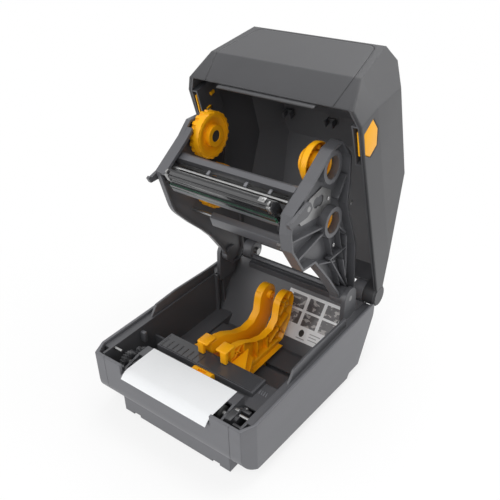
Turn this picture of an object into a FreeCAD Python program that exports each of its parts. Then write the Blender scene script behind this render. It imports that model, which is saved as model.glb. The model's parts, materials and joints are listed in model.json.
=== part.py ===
import FreeCAD, Part
import os
import re
import Sketcher

# Driving sizes in millimetres, degrees and counts. x runs to the right, y from the front face to the rear
# and z up from the table. The lid and the carriage are drawn closed and then opened by their angles.
SIZES = {
    # whole printer
    "origin_setback": 155.73, "running_gap": 0.05, "seat_gap": 0.1, "free_gap": 0.3,
    "lid_open_angle": 73.17, "hinge_y": "rear_y + 2.45", "hinge_z": "rim_z + 4.03",
    "carriage_open_angle": 62.24, "pivot_y": "hinge_y - 43.45", "pivot_z": "hinge_z + 17.61",
    # base housing
    "base_width": 197.0, "front_width": "base_width - 12.8", "corner_depth": 15.5, "rim_z": 75.6, "base_wall": 3.0,
    "front_curve": 22.0, "skirt_front_z": 21.0, "skirt_low_y": "rear_foot_y - 24", "skirt_low_z": 6.0,
    "step_y": "skirt_low_y + 4", "step_z": 11.0, "rear_foot_y": "rear_y - 37", "rear_foot_z": 10.0,
    "rear_y": 241.0, "rear_corner": 10.0, "bezel_half": "front_width/2 - 13.1", "bezel_depth": 14.0,
    "bezel_gap": 0.25, "label_notch_half": "label_half + 3", "label_notch_z": "label_z - 4.1",
    "ear_inner": "ear_outer - 13", "ear_outer": "bay_half - 3", "barrel_radius": 12.0,
    "barrel_outer": "base_width/2 - cap_width - 0.1", "cap_width": 1.0,
    "hinge_pin_radius": 4.0, "hinge_pin_inner": "ear_inner - 4",
    "port_width": 15.0, "port_height": 11.0, "inlet_x": 48.0, "ports_x": -38.0, "ports_width": 44.0,
    "port_front_y": "port_rear_y - 8.5", "port_rear_y": "rear_foot_y + 2",
    # plinth and feet
    "plinth_half": "trough_half + chassis_wall + free_gap + plinth_wall", "plinth_front_y": 9.5,
    "plinth_rear_y": "rear_foot_y - 4", "plinth_z": 2.0, "plinth_wall": 2.4,
    "notch_x": 53.0, "notch_width": 9.0, "notch_height": 2.6,
    "foot_radius": 7.0, "foot_x": "plinth_half - 16.2", "foot_front_y": 26.0, "foot_rear_y": "plinth_rear_y - 16",
    # media chassis
    "chassis_half": "base_width/2 - base_wall - free_gap", "bay_half": "chassis_half - 9.2", "chassis_wall": 2.5,
    "land_z": "rim_z - 3", "trough_half": "bay_half - 21", "trough_z": 10.5, "ledge_z": "skirt_front_z - 0.5",
    "floor_z": "trough_z + rack_height + 2.5", "floor_thickness": 2.0, "bay_front_y": 79.5,
    "ramp_foot_y": "ramp_top_y - 52", "ramp_top_y": "rear_y - 11", "ramp_top_z": "land_z - 2.6",
    "deck_half": "trough_half - 2.5", "deck_z": "land_z - 11.6", "side_deck_z": "deck_z - 5",
    "guide_strip_z": "deck_z + 6.6", "guide_strip_front": 30.0, "channel_front": 44.5, "channel_rear": 57.0,
    "channel_z": "deck_z - 7", "well_z": 27.0, "well_front_y": 8.5, "ledge_front_y": 3.4, "ledge_rear_y": 11.0,
    "tear_seat_z": "deck_z + 2.5", "beam_front_y": "ramp_top_y - 4", "beam_half": "trough_half + 3",
    "post_inner": "bay_half - 5", "post_half_depth": 14.0, "post_radius": 12.0, "pivot_pin_radius": 3.0,
    "wall_rib": 4.0, "scale_half": "deck_half - 2.5", "scale_thickness": 0.8, "scale_marks": 8, "mark_pitch": 7.0,
    # platen drive
    "platen_y": 21.5, "platen_z": "label_z - platen_radius - 0.1", "platen_radius": 7.0,
    "platen_half": "label_half + 2", "shaft_radius": 3.0, "shaft_left": "plate_outer - 2",
    "shaft_right": "deck_half + 9.5", "bush_radius": 5.0, "gear_module": 1.0, "gear_width": 6.0,
    "gear_near": "deck_half + 3.5", "gear_backlash": 0.34, "platen_teeth": 18, "idler_teeth": 24, "pinion_teeth": 14,
    "idler_drop": 31.0, "pinion_drop": 48.0, "stud_radius": 2.5, "stud_end": "gear_near + gear_width + 2",
    "motor_radius": 13.0, "motor_length": 26.0, "motor_shaft_radius": 2.0,
    "board_left": 28.0, "board_right": "deck_half - 4.5", "board_low": 30.0, "board_high": "deck_z - 5",
    "board_thickness": 1.6, "board_boss": 2.0, "board_boss_size": 5.0,
    # label strip and tear bar
    "label_half": "deck_half - label_margin", "label_margin": 8.5, "label_rear_y": "channel_front",
    "label_z": "guide_strip_z + 0.4", "label_thickness": 0.35,
    "label_corner_y": 3.0, "label_fall": 8.4, "label_bend": 12.0, "tear_height": 2.4,
    # roll guides
    "guide_inner": 8.0, "guide_thickness": 16.0, "guide_foot": 10.0, "guide_step_z": "floor_z + 9.8",
    "guide_wall": 2.4, "guide_low_z": "floor_z + free_gap", "guide_travel": 46.5,
    "finger_inner": 10.5, "finger_outer": 19.0, "finger_front_y": "bay_front_y - 7.5", "finger_top_z": "deck_z + 17",
    "finger_wall": 3.0, "wing_outer": 37.0, "wing_low_z": "deck_z - 17", "wing_top_z": "deck_z - 3",
    "wing_y": "bay_front_y + 4.5", "arm_top_y": "ramp_top_y - 42", "arm_top_z": "land_z + 5.9", "arm_top_radius": 9.5,
    "peg_radius": 5.0, "peg_length": 4.5, "rack_length": 68.0, "rack_width": 5.0, "rack_height": 4.2,
    "guide_pinion_teeth": 12, "guide_pinion_y": "ramp_foot_y - 50", "pinion_axle": 2.0,
    "slider_left": 8.0, "slider_right": 16.0, "slider_top_z": "deck_z + 1.4",
    # lid
    "lid_gap": 0.5, "lid_wall": 2.6, "liner_wall": 1.4, "ridge_y": -12.1, "ridge_z": "rim_z + 31.1",
    "ridge_width": "front_width - 16.4", "brow_y": -6.9, "brow_z": "ridge_z + 62.1", "brow_width": "base_width - 46",
    "brow_side_y": 30.0, "brow_side": "base_width/2 - 5", "lid_top_z": "brow_z + 22.2", "lid_top_y": 100.0,
    "lid_fore_y": 36.0, "lid_fore_z": "lid_top_z - 4.5", "lid_aft_y": "lid_rear_y - 112", "lid_aft_z": "lid_top_z - 4",
    "lid_rear_y": "hinge_y + 5.55", "lid_rear_high_z": "lid_aft_z - 67", "shoulder_side_z": "lid_top_z - 33",
    "shoulder_top": "base_width/2 - 24.5", "shoulder_drop": 2.0, "rear_slot_y": "hinge_y - 43.45",
    "rear_slot_z": "hinge_z + 15.4", "panel_low_half": "front_width/2 - 20.6", "panel_half": "ridge_width/2 - 6.9",
    "panel_top_half": "brow_width/2 - 8.5", "panel_top_z": "brow_z - 2.8", "panel_corner": 10.0, "panel_gap": 0.3,
    "lip_half": "label_half + 1", "lip_z": "rim_z - 4.4", "button_y": 37.0, "button_z": "rim_z + 15.4",
    "button_gap": 0.25, "button_travel": 2.5, "button_proud": "base_width/2 - 0.2", "button_flange": 1.6,
    "button_tab": 3.0, "panel_y": 62.0, "control_length": 34.0, "control_width": 74.0, "control_height": 3.0,
    "key_radius": 6.0, "key_travel": 0.8, "key_spacing": 22.0,
    # ribbon carriage
    "plate_inner": "plate_outer - 12", "plate_outer": "post_inner - 3", "plate_wall": 2.4,
    "left_rim": "hub_outer + 0.5", "pivot_boss_radius": 10.0, "pivot_boss_end": "post_inner - free_gap",
    "takeup_y": "platen_y + 19", "takeup_z": "pivot_z + 43.8", "supply_y": "platen_y + 73.5",
    "supply_z": "pivot_z + 21.3", "ring_radius": 15.5, "hub_radius": 24.0, "hub_inner": "hub_outer - 12",
    "hub_outer": "plate_outer - 6", "hub_shaft_radius": 4.0, "hub_shaft_end": "plate_outer + 6.5", "core_radius": 11.0,
    "core_length": 3.0, "hub_screw_radius": 6.0, "hub_lugs": 20, "far_hub_radius": 20.5,
    "far_hub_x": "plate_inner - 19", "far_hub_depth": 10.0, "spindle_radius": 11.0, "spindle_end": "plate_outer - 7",
    "takeup_teeth": 30, "bar_front_y": "platen_y + 6", "bar_rear_y": "platen_y + 17", "bar_low_z": "pivot_z - 1.2",
    "bar_top_z": "pivot_z + 8.8", "bar_wall": 2.2, "tray_front_y": "platen_y + 56", "tray_front_z": "pivot_z - 15.9",
    "tray_edge_y": "platen_y + 83.5", "tray_edge_z": "pivot_z - 20.2", "tray_thickness": 2.0, "strip_depth": 4.5,
    "strip_y": "platen_y + 24.5", "strip_z": "pivot_z - 21", "rod_radius": 1.5, "rod_y": "platen_y + 7.7",
    "rod_z": "pivot_z - 11.2", "rear_rod_y": "platen_y + 76.5", "rear_rod_z": "pivot_z - 12.7",
    "head_front_y": "platen_y - 4.5", "head_rear_y": "platen_y + 20.5", "head_low_z": "label_z + 2.6",
    "head_top_z": "head_low_z + 10.4", "head_half": "platen_half + 5", "head_board_z": "head_low_z - 1.5",
    "head_pin_y": "platen_y + 17.5", "head_pin_z": "head_low_z + 6.4", "head_pin_radius": 1.8,
    "latch_y": "platen_y + 15.5", "latch_z": "pivot_z - 6.7", "latch_shaft_radius": 2.5, "hook_inner": "plate_outer + 1",
    "hook_outer": "hook_inner + 3.5", "hook_toe_z": "latch_pin_z - 7.5", "hook_toe_y": "latch_pin_y + 3.5",
    "latch_pin_radius": 1.6, "latch_pin_y": "platen_y - 0.5", "latch_pin_z": "land_z - 2.6", "bracket_thickness": 1.4,
}

doc = FreeCAD.newDocument("label_printer")
sheet = doc.addObject("Spreadsheet::Sheet", "Sizes")
for row, alias in enumerate(SIZES, start=1):
    sheet.set(f"A{row}", alias)
    sheet.setAlias(f"B{row}", alias)
for row, size in enumerate(SIZES.values(), start=1):
    sheet.set(f"B{row}", f"={size}")
doc.recompute()
nodes = {}


def formula(text):
    """Turn a size written with plain aliases into an expression on the sheet."""
    return re.sub(r"[a-z][a-z_0-9]*", lambda m: "Sizes." + m[0] if m[0] in SIZES else m[0], str(text))


def bind(thing, prop, text):
    thing.setExpression(prop, formula(text))


def value(text):
    """Work a size out to a plain number."""
    return float(probe.evalExpression(formula(text)))


probe = doc.addObject("Part::Box", "probe")


# Building blocks
def box(x, y, z):
    """A block between pairs of limits."""
    block = doc.addObject("Part::Box", "block")
    for prop, axis, (low, high) in (("Length", "x", x), ("Width", "y", y), ("Height", "z", z)):
        bind(block, prop, f"({high}) - ({low})")
        bind(block, f"Placement.Base.{axis}", low)
    return block


TURNS = {
    "x": FreeCAD.Rotation(FreeCAD.Vector(0, 1, 0), 90),
    "y": FreeCAD.Rotation(FreeCAD.Vector(1, 0, 0), -90),
    "z": FreeCAD.Rotation(),
}


def place_along(thing, axis, span, at):
    """Lay a round piece along an axis, from the low end of its span."""
    thing.Placement = FreeCAD.Placement(FreeCAD.Vector(), TURNS[axis])
    bind(thing, "Height", f"({span[1]}) - ({span[0]})")
    bind(thing, f"Placement.Base.{axis}", span[0])
    for other, place in zip([a for a in "xyz" if a != axis], at):
        bind(thing, f"Placement.Base.{other}", place)
    return thing


def rod(axis, span, at, radius):
    """A cylinder along an axis; at gives its two other coordinates in order."""
    cylinder = doc.addObject("Part::Cylinder", "rod")
    bind(cylinder, "Radius", radius)
    return place_along(cylinder, axis, span, at)


def cone(axis, span, at, low_radius, high_radius):
    taper = doc.addObject("Part::Cone", "taper")
    bind(taper, "Radius1", low_radius)
    bind(taper, "Radius2", high_radius)
    return place_along(taper, axis, span, at)


def draw(body, plane, outline, offset):
    """A closed sketch on one of the body's own planes, every corner held by the sheet."""
    sketch = body.newObject("Sketcher::SketchObject", "outline")
    base = [p for p in body.Origin.OriginFeatures if p.Role == plane + "_Plane"][0]
    sketch.AttachmentSupport = [(base, "")]
    sketch.MapMode = "FlatFace"
    bind(sketch, "AttachmentOffset.Base.z", offset)
    corners = [FreeCAD.Vector(value(u), value(v), 0) for u, v in outline]
    count = len(corners)
    for i in range(count):
        sketch.addGeometry(Part.LineSegment(corners[i], corners[(i + 1) % count]), False)
    for i in range(count):
        sketch.addConstraint(Sketcher.Constraint("Coincident", i, 2, (i + 1) % count, 1))
    for i, corner in enumerate(outline):
        for kind, text, number in zip(("DistanceX", "DistanceY"), corner, corners[i]):
            held = sketch.addConstraint(Sketcher.Constraint(kind, -1, 1, i, 1, number))
            bind(sketch, f"Constraints[{held}]", text)
    return sketch


def prism(plane, outline, span, rounds=(), open_side=None):
    """A padded outline; rounds pairs a radius with corner numbers, open_side hollows it to a wall."""
    body = doc.addObject("PartDesign::Body", "profile")
    backwards = plane == "XZ"
    start = f"-({span[1]})" if backwards else span[0]
    tip = body.newObject("PartDesign::Pad", "pad")
    tip.Profile = draw(body, plane, outline, start)
    bind(tip, "Length", f"({span[1]}) - ({span[0]})")
    doc.recompute()
    axes = {"XY": (0, 1), "XZ": (0, 2), "YZ": (1, 2)}[plane]
    for radius, corners in rounds:
        spots = [tuple(value(c) for c in outline[i]) for i in corners]
        names = []
        for number, edge in enumerate(tip.Shape.Edges, start=1):
            ends = [tuple(vertex.Point[a] for a in axes) for vertex in edge.Vertexes]
            for spot in spots:
                if len(ends) == 2 and all(abs(e[k] - spot[k]) < 1e-4 for e in ends for k in (0, 1)):
                    names.append(f"Edge{number}")
        fillet = body.newObject("PartDesign::Fillet", "round")
        fillet.Base = (tip, names)
        bind(fillet, "Radius", radius)
        tip = fillet
        doc.recompute()
    if open_side is not None:
        side, wall = open_side
        depth = [a for a in (0, 1, 2) if a not in axes][0]
        faces = [(f.CenterOfMass[depth], f"Face{n}") for n, f in enumerate(tip.Shape.Faces, start=1)]
        hollow = body.newObject("PartDesign::Thickness", "hollow")
        hollow.Base = (tip, [max(faces)[1] if side > 0 else min(faces)[1]])
        bind(hollow, "Value", wall)
        hollow.Reversed = True
        hollow.Join = 1
        tip = hollow
        doc.recompute()
    body.Tip = tip
    return body


def fuse(*pieces):
    if len(pieces) == 1:
        return pieces[0]
    joined = doc.addObject("Part::MultiFuse", "joined")
    joined.Shapes = list(pieces)
    joined.Refine = True
    return joined


def cut(base, *tools):
    rest = doc.addObject("Part::Cut", "rest")
    rest.Base = base
    rest.Tool = fuse(*tools)
    rest.Refine = True
    return rest


def common(*pieces):
    shared = doc.addObject("Part::MultiCommon", "shared")
    shared.Shapes = list(pieces)
    shared.Refine = True
    return shared


def mirrored(piece):
    """The same piece on the other side of the middle plane."""
    twin = doc.addObject("Part::Mirroring", "twin")
    twin.Source = piece
    twin.Normal = FreeCAD.Vector(1, 0, 0)
    twin.Base = FreeCAD.Vector(0, 0, 0)
    return twin


SWINGS = {"lid": ("lid_open_angle", "hinge_y", "hinge_z"), "carriage": ("carriage_open_angle", "pivot_y", "pivot_z")}


def node(label, group, *pieces):
    """Name a sub-part and bring it from its closed drawing to the opened printer."""
    part = doc.addObject("Part::Compound", label)
    part.Label = label
    part.Links = list(pieces)
    if group in SWINGS:
        angle, y, z = SWINGS[group]
        part.Placement = FreeCAD.Placement(FreeCAD.Vector(), FreeCAD.Rotation(FreeCAD.Vector(1, 0, 0), -1))
        bind(part, "Placement.Rotation.Angle", f"-{angle}")
        bind(part, "Placement.Base.y", f"{y} - {y}*cos({angle}) - {z}*sin({angle}) - origin_setback")
        bind(part, "Placement.Base.z", f"{z} + {y}*sin({angle}) - {z}*cos({angle})")
    else:
        bind(part, "Placement.Base.y", "-origin_setback")
    nodes[label] = part
    return part


half = "(base_width/2)"
front_half = "(front_width/2)"


# Base housing, bezel, plinth and feet
def base_form(inset, top):
    """The base's outer form, or the hollow inside it when inset by its wall."""
    outline = [
        (inset, top), (inset, f"skirt_front_z + {inset}"), ("skirt_low_y", f"skirt_low_z + {inset}"),
        ("step_y", f"step_z + {inset}"), (f"rear_foot_y - {inset}", f"rear_foot_z + {inset}"),
        (f"rear_y - {inset}", "rim_z"),
    ]
    if top != "rim_z":
        outline.append((f"rear_y - {inset}", top))
    side = prism("YZ", outline, (f"-{half}", half), [(f"front_curve - {inset}", [1])])
    plan = prism("XY", [
        (f"-{front_half} + {inset}", inset), (f"{front_half} - {inset}", inset),
        (f"{half} - {inset}", "corner_depth"), (f"{half} - {inset}", f"rear_y - {inset}"),
        (f"-{half} + {inset}", f"rear_y - {inset}"), (f"-{half} + {inset}", "corner_depth"),
    ], ("0", top), [(f"rear_corner - {inset}", [3, 4])])
    return common(side, plan)


def hinge_ear():
    barrel = rod("x", ("ear_inner", "ear_outer"), ("hinge_y", "hinge_z"), "barrel_radius - free_gap")
    root = box(("ear_inner", "ear_outer"), ("rear_y - base_wall/2", "hinge_y + barrel_radius/2"),
               ("hinge_z - barrel_radius", "hinge_z"))
    return fuse(barrel, root)


hollow_top = "(rim_z + 20)"
base_shell = cut(base_form("0", "rim_z"), base_form("base_wall", hollow_top))
bezel_zone = box(("-bezel_half", "bezel_half"), ("-1", "bezel_depth"), ("0", hollow_top))
bezel_window = box(("-bezel_half - bezel_gap", "bezel_half + bezel_gap"), ("-1", "bezel_depth + bezel_gap"),
                   ("0", hollow_top))
barrel_room = rod("x", ("ear_outer + free_gap/3", f"{half} + 1"), ("hinge_y", "hinge_z"), "barrel_radius + 2*free_gap")
ear = hinge_ear()
pin_bore = rod("x", (f"-{half}", half), ("hinge_y", "hinge_z"), "hinge_pin_radius")
trough_window = box(("-trough_half - chassis_wall - free_gap", "trough_half + chassis_wall + free_gap"),
                    ("bay_front_y - 2*chassis_wall", "ramp_foot_y + 10"), ("0", "ledge_z"))


def port_zone(x, width, margin):
    return box((f"{x} - {width}/2 - {margin}", f"{x} + {width}/2 + {margin}"), ("port_front_y", "rear_y"),
               (f"rear_foot_z + base_wall + seat_gap - {margin}", f"rear_foot_z + base_wall + port_height + {margin}"))


housing = cut(base_shell, bezel_window, barrel_room, mirrored(barrel_room), trough_window,
              port_zone("inlet_x", "port_width", "seat_gap/2"), port_zone("ports_x", "ports_width", "seat_gap/2"))
node("base_housing", "base", cut(fuse(housing, ear, mirrored(ear)), pin_bore))
label_notch = box(("-label_notch_half", "label_notch_half"), ("-1", "bezel_depth + 1"), ("label_notch_z", hollow_top))
node("front_bezel", "base", cut(common(base_shell, bezel_zone), label_notch))


def slope_z(y):
    """Height of the base's sloping underside at a depth."""
    return f"(skirt_front_z - ({y})*(skirt_front_z - skirt_low_z)/skirt_low_y)"


plinth_block = prism("YZ", [
    ("plinth_front_y", "plinth_z"), ("plinth_front_y", slope_z("front_curve") + " + 3.4"),
    ("plinth_front_y + 5.5", slope_z("front_curve") + " + 0.75"),
    ("front_curve", slope_z("front_curve") + " - seat_gap"), ("skirt_low_y", "skirt_low_z - seat_gap"),
    ("step_y", "step_z - seat_gap"), ("plinth_rear_y", "rear_foot_z - seat_gap"), ("plinth_rear_y", "plinth_z"),
], ("-plinth_half", "plinth_half"))
plinth_hollow = box(("-plinth_half + plinth_wall", "plinth_half - plinth_wall"),
                    ("plinth_front_y + 2*plinth_wall", "plinth_rear_y - plinth_wall"),
                    ("plinth_z + plinth_wall", "rim_z"))
notch = box(("notch_x - notch_width/2", "notch_x + notch_width/2"), ("0", "plinth_front_y + plinth_wall"),
            ("plinth_z", "plinth_z + notch_height"))
node("bottom_plinth", "base", cut(plinth_block, plinth_hollow, notch, mirrored(notch)))
feet = [rod("z", ("0", "plinth_z"), (f"{side}*foot_x", y), "foot_radius")
        for side in (-1, 1) for y in ("foot_front_y", "foot_rear_y")]
node("rubber_feet", "base", *feet)


# Media chassis: deck, sensor channel, wells, bay and the posts that carry the ribbon carriage
def ramp_y(z, face):
    """Depth of the bay's ramp at a height, on its face or on its back."""
    run = f"(({z}) - trough_z)*(ramp_top_y - ramp_foot_y)/(ramp_top_z - trough_z)"
    return f"(ramp_foot_y + {run} + {'0' if face else 'chassis_wall*1.4'})"


def bay_sheet(floor, span, top):
    """A bent sheet: the bay's front wall, its floor and its ramp."""
    under = f"({floor} - chassis_wall)"
    return prism("YZ", [
        ("bay_front_y - chassis_wall", top), ("bay_front_y - chassis_wall", under), (ramp_y(under, False), under),
        (ramp_y("land_z", False), "land_z"), (ramp_y("land_z", True), "land_z"), (ramp_y(floor, True), floor),
        ("bay_front_y", floor), ("bay_front_y", top),
    ], span)


def right_and_left(piece):
    return [piece, mirrored(piece)]


wall_x = ("bay_half", "bay_half + chassis_wall")
deck_sheet = prism("YZ", [
    ("guide_strip_front", "guide_strip_z - chassis_wall"), ("guide_strip_front", "guide_strip_z"),
    ("channel_front", "guide_strip_z"), ("channel_front", "channel_z"), ("channel_rear", "channel_z"),
    ("channel_rear", "deck_z"), ("bay_front_y", "deck_z"), ("bay_front_y", "deck_z - chassis_wall"),
    ("channel_rear + chassis_wall", "deck_z - chassis_wall"),
    ("channel_rear + chassis_wall", "channel_z - chassis_wall"),
    ("channel_front - chassis_wall", "channel_z - chassis_wall"),
    ("channel_front - chassis_wall", "guide_strip_z - chassis_wall"),
], ("-deck_half", "deck_half"))
bay_side = prism("YZ", [
    ("well_front_y - chassis_wall", "well_z + 11"), ("well_front_y + 5", "well_z - chassis_wall"),
    ("bay_front_y", "well_z - chassis_wall"),
    ("bay_front_y", "ledge_z - chassis_wall"), (ramp_y("ledge_z - chassis_wall", False), "ledge_z - chassis_wall"),
    (ramp_y("land_z", False), "land_z"), ("well_front_y - chassis_wall", "land_z"),
], wall_x)
trough_side = prism("YZ", [
    ("bay_front_y - chassis_wall", "trough_z - chassis_wall"),
    (ramp_y("trough_z - chassis_wall", False), "trough_z - chassis_wall"),
    (ramp_y("ledge_z", False), "ledge_z"), ("bay_front_y - chassis_wall", "ledge_z"),
], ("trough_half", "trough_half + chassis_wall"))
deck_side = prism("YZ", [
    ("ledge_front_y", "tear_seat_z - 22"), ("well_front_y + 5", "well_z - chassis_wall"),
    ("bay_front_y", "well_z - chassis_wall"), ("bay_front_y", "deck_z"),
    ("channel_rear", "deck_z"), ("channel_rear", "channel_z"), ("channel_front", "channel_z"),
    ("channel_front", "guide_strip_z"), ("guide_strip_front", "guide_strip_z"),
    ("ledge_rear_y", "tear_seat_z"), ("ledge_front_y", "tear_seat_z"),
], ("deck_half - chassis_wall", "deck_half"))
well = prism("YZ", [
    ("well_front_y - chassis_wall", "land_z - 2*chassis_wall"), ("well_front_y - chassis_wall", "well_z + 11"),
    ("well_front_y + 5", "well_z - chassis_wall"), ("bay_front_y", "well_z - chassis_wall"), ("bay_front_y", "well_z"),
    ("well_front_y + 7", "well_z"), ("well_front_y", "well_z + 13"), ("well_front_y", "land_z - 2*chassis_wall"),
], ("deck_half - chassis_wall", "bay_half + chassis_wall"))
deck_wall = box(("-deck_half", "deck_half"), ("bay_front_y - chassis_wall", "bay_front_y"), ("ledge_z", "deck_z"))
land = box(("bay_half", "chassis_half"), ("corner_depth", "hinge_y - barrel_radius - 2"),
           ("land_z - chassis_wall", "land_z"))
rear_beam = box(("-beam_half", "beam_half"), ("beam_front_y", "beam_front_y + 5"),
                ("land_z - 3*chassis_wall", "land_z"))
tear_ledge = box(("-deck_half", "deck_half"), ("ledge_front_y", "ledge_rear_y"),
                 ("tear_seat_z - 2*chassis_wall", "tear_seat_z"))
post = fuse(
    box(("post_inner", "bay_half + chassis_wall"), ("pivot_y - post_half_depth", "pivot_y + post_half_depth"),
        ("land_z - 10", "land_z")),
    prism("YZ", [
        ("pivot_y - post_half_depth", "land_z - 10"), ("pivot_y + post_half_depth", "land_z - 10"),
        ("pivot_y + post_radius", "pivot_z"), ("pivot_y - post_radius", "pivot_z"),
    ], ("post_inner", "bay_half")),
    rod("x", ("post_inner", "bay_half"), ("pivot_y", "pivot_z"), "post_radius"),
)
board_y = "(bay_front_y - chassis_wall - board_boss)"
bosses = [box((x, f"{x} + board_boss_size"), (board_y, "bay_front_y - chassis_wall"), (z, f"{z} + board_boss_size"))
          for x in ("-board_left + 3", "board_right - 8") for z in ("board_low + 3", "board_high - 8")]
side_deck = box(("deck_half - chassis_wall", "bay_half + 1"), ("channel_front", "bay_front_y"),
                ("side_deck_z - chassis_wall", "side_deck_z"))
floor = box(("-trough_half - 1", "trough_half + 1"), ("guide_pinion_y - 26", "guide_pinion_y + 40"),
            ("floor_z - floor_thickness", "floor_z"))
ribs_on_wall = [box(("bay_half - wall_rib", "bay_half + 1"), (f"ramp_foot_y + {at}", f"ramp_foot_y + {at} + chassis_wall"),
                    ("ledge_z", "land_z - 1")) for at in ("3", "14")]
idler_reach = "(gear_module*(platen_teeth + idler_teeth)/2)"
pinion_reach = "(gear_module*(idler_teeth + pinion_teeth)/2)"
idler_y = f"(platen_y + {idler_reach}*cos(idler_drop))"
idler_z = f"(platen_z - {idler_reach}*sin(idler_drop))"
pinion_y = f"({idler_y} + {pinion_reach}*cos(pinion_drop))"
pinion_z = f"({idler_z} - {pinion_reach}*sin(pinion_drop))"
side_span = ("-deck_half - 1", "-deck_half + chassis_wall + 1")
ear_room = rod("x", ("ear_inner - free_gap", f"{half} + 1"), ("hinge_y", "hinge_z"), "barrel_radius + 2*free_gap")
stem_room = "(gear_module*(guide_pinion_teeth/2 + 1.25))"
stem_slot = box(("guide_inner - free_gap", "trough_half"),
                (f"guide_pinion_y + {stem_room} - free_gap", f"guide_pinion_y + {stem_room} + rack_width + free_gap"),
                ("floor_z - floor_thickness - 1", "floor_z + 1"))
far_slot = box(("-trough_half", "-guide_inner + free_gap"),
               (f"guide_pinion_y - {stem_room} - rack_width - free_gap", f"guide_pinion_y - {stem_room} + free_gap"),
               ("floor_z - floor_thickness - 1", "floor_z + 1"))
chassis = fuse(
    deck_sheet, deck_wall, rear_beam, tear_ledge, side_deck, cut(floor, stem_slot, far_slot), *bosses,
    bay_sheet("trough_z", ("-trough_half - chassis_wall", "trough_half + chassis_wall"), "channel_z - 2*chassis_wall"),
    rod("z", ("trough_z - 1", "trough_z + rack_height"), ("0", "guide_pinion_y"), "pinion_axle"),
    *right_and_left(bay_sheet("ledge_z", ("trough_half", "bay_half + chassis_wall"), "channel_z - 2*chassis_wall")),
    *right_and_left(bay_side), *right_and_left(trough_side), *right_and_left(deck_side), *right_and_left(well),
    *right_and_left(land), *right_and_left(post), *right_and_left(fuse(*ribs_on_wall)),
)
node("media_chassis", "base", cut(
    chassis, *right_and_left(ear_room),
    rod("x", ("-deck_half - 1", "deck_half + 1"), ("platen_y", "platen_z"), "bush_radius"),
    rod("x", side_span, (idler_y, idler_z), "stud_radius"),
    rod("x", side_span, (pinion_y, pinion_z), "motor_shaft_radius + 1"),
    rod("x", ("post_inner - 1", "bay_half + 1"), ("pivot_y", "pivot_z"), "pivot_pin_radius"),
    rod("x", ("-bay_half - 1", "-post_inner + 1"), ("pivot_y", "pivot_z"), "pivot_pin_radius"),
    rod("x", ("bay_half - 1", "bay_half + chassis_wall + 1"), ("latch_pin_y", "latch_pin_z"), "latch_pin_radius"),
    rod("x", ("-bay_half - chassis_wall - 1", "-bay_half + 1"), ("latch_pin_y", "latch_pin_z"), "latch_pin_radius"),
))
scale = box(("-scale_half", "scale_half"), ("channel_rear + 1", "bay_front_y - 1"), ("deck_z", "deck_z + scale_thickness"))
marks = [box((f"-scale_half + 2 + {i}*mark_pitch", f"-scale_half + 3 + {i}*mark_pitch"),
             ("channel_rear + 2", "finger_front_y - 2"), ("deck_z", "deck_z + scale_thickness*1.6"))
         for i in range(int(value("scale_marks")))]
node("scale_plate", "base", fuse(scale, *marks))
tear_bar = prism("YZ", [
    ("ledge_front_y", "tear_seat_z"), ("ledge_rear_y", "tear_seat_z"), ("ledge_rear_y", "tear_seat_z + tear_height/3"),
    ("ledge_front_y + tear_height", "tear_seat_z + tear_height/2"), ("ledge_front_y", "tear_seat_z + tear_height"),
], ("-label_notch_half + free_gap", "label_notch_half - free_gap"))
node("tear_bar", "base", tear_bar)
pin_span = ("bay_half - 10", "bay_half + chassis_wall")
latch_pin = rod("x", pin_span, ("latch_pin_y", "latch_pin_z"), "latch_pin_radius")
node("latch_posts", "base", *right_and_left(latch_pin))
pivot_pin = rod("x", ("plate_outer - 4", "bay_half"), ("pivot_y", "pivot_z"), "pivot_pin_radius")
node("carriage_pivot_pins", "base", *right_and_left(pivot_pin))
hinge_pin = rod("x", ("hinge_pin_inner", "barrel_outer"), ("hinge_y", "hinge_z"), "hinge_pin_radius")
node("hinge_pins", "base", *right_and_left(hinge_pin))


# Label strip and the sheet with pictured steps on the ramp
label_drop = "(label_fall*cos(45))"
label_top = "(label_z + label_thickness)"
label_skew = "(label_thickness*tan(22.5))"
label_strip = prism("YZ", [
    ("label_rear_y", "label_z"), ("label_corner_y", "label_z"),
    (f"label_corner_y - {label_drop}", f"label_z - {label_drop}"),
    (f"label_corner_y - {label_drop} - label_thickness*sin(45)", f"label_z - {label_drop} + label_thickness*cos(45)"),
    (f"label_corner_y - {label_skew}", label_top), ("label_rear_y", label_top),
], ("-label_half", "label_half"), [("label_bend", [1]), ("label_bend + label_thickness", [4])])
node("label_strip", "base", label_strip)
sticker_z = ("(ledge_z + 1)", "(ramp_top_z - 8)")
sticker = prism("YZ", [
    (ramp_y(sticker_z[0], True) + " - seat_gap/2", sticker_z[0]),
    (ramp_y(sticker_z[1], True) + " - seat_gap/2", sticker_z[1]),
    (ramp_y(sticker_z[1], True) + " - 0.5", sticker_z[1]), (ramp_y(sticker_z[0], True) + " - 0.5", sticker_z[0]),
], ("-bay_half/20", "bay_half - 13"))
node("instruction_sticker", "base", sticker)


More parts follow.
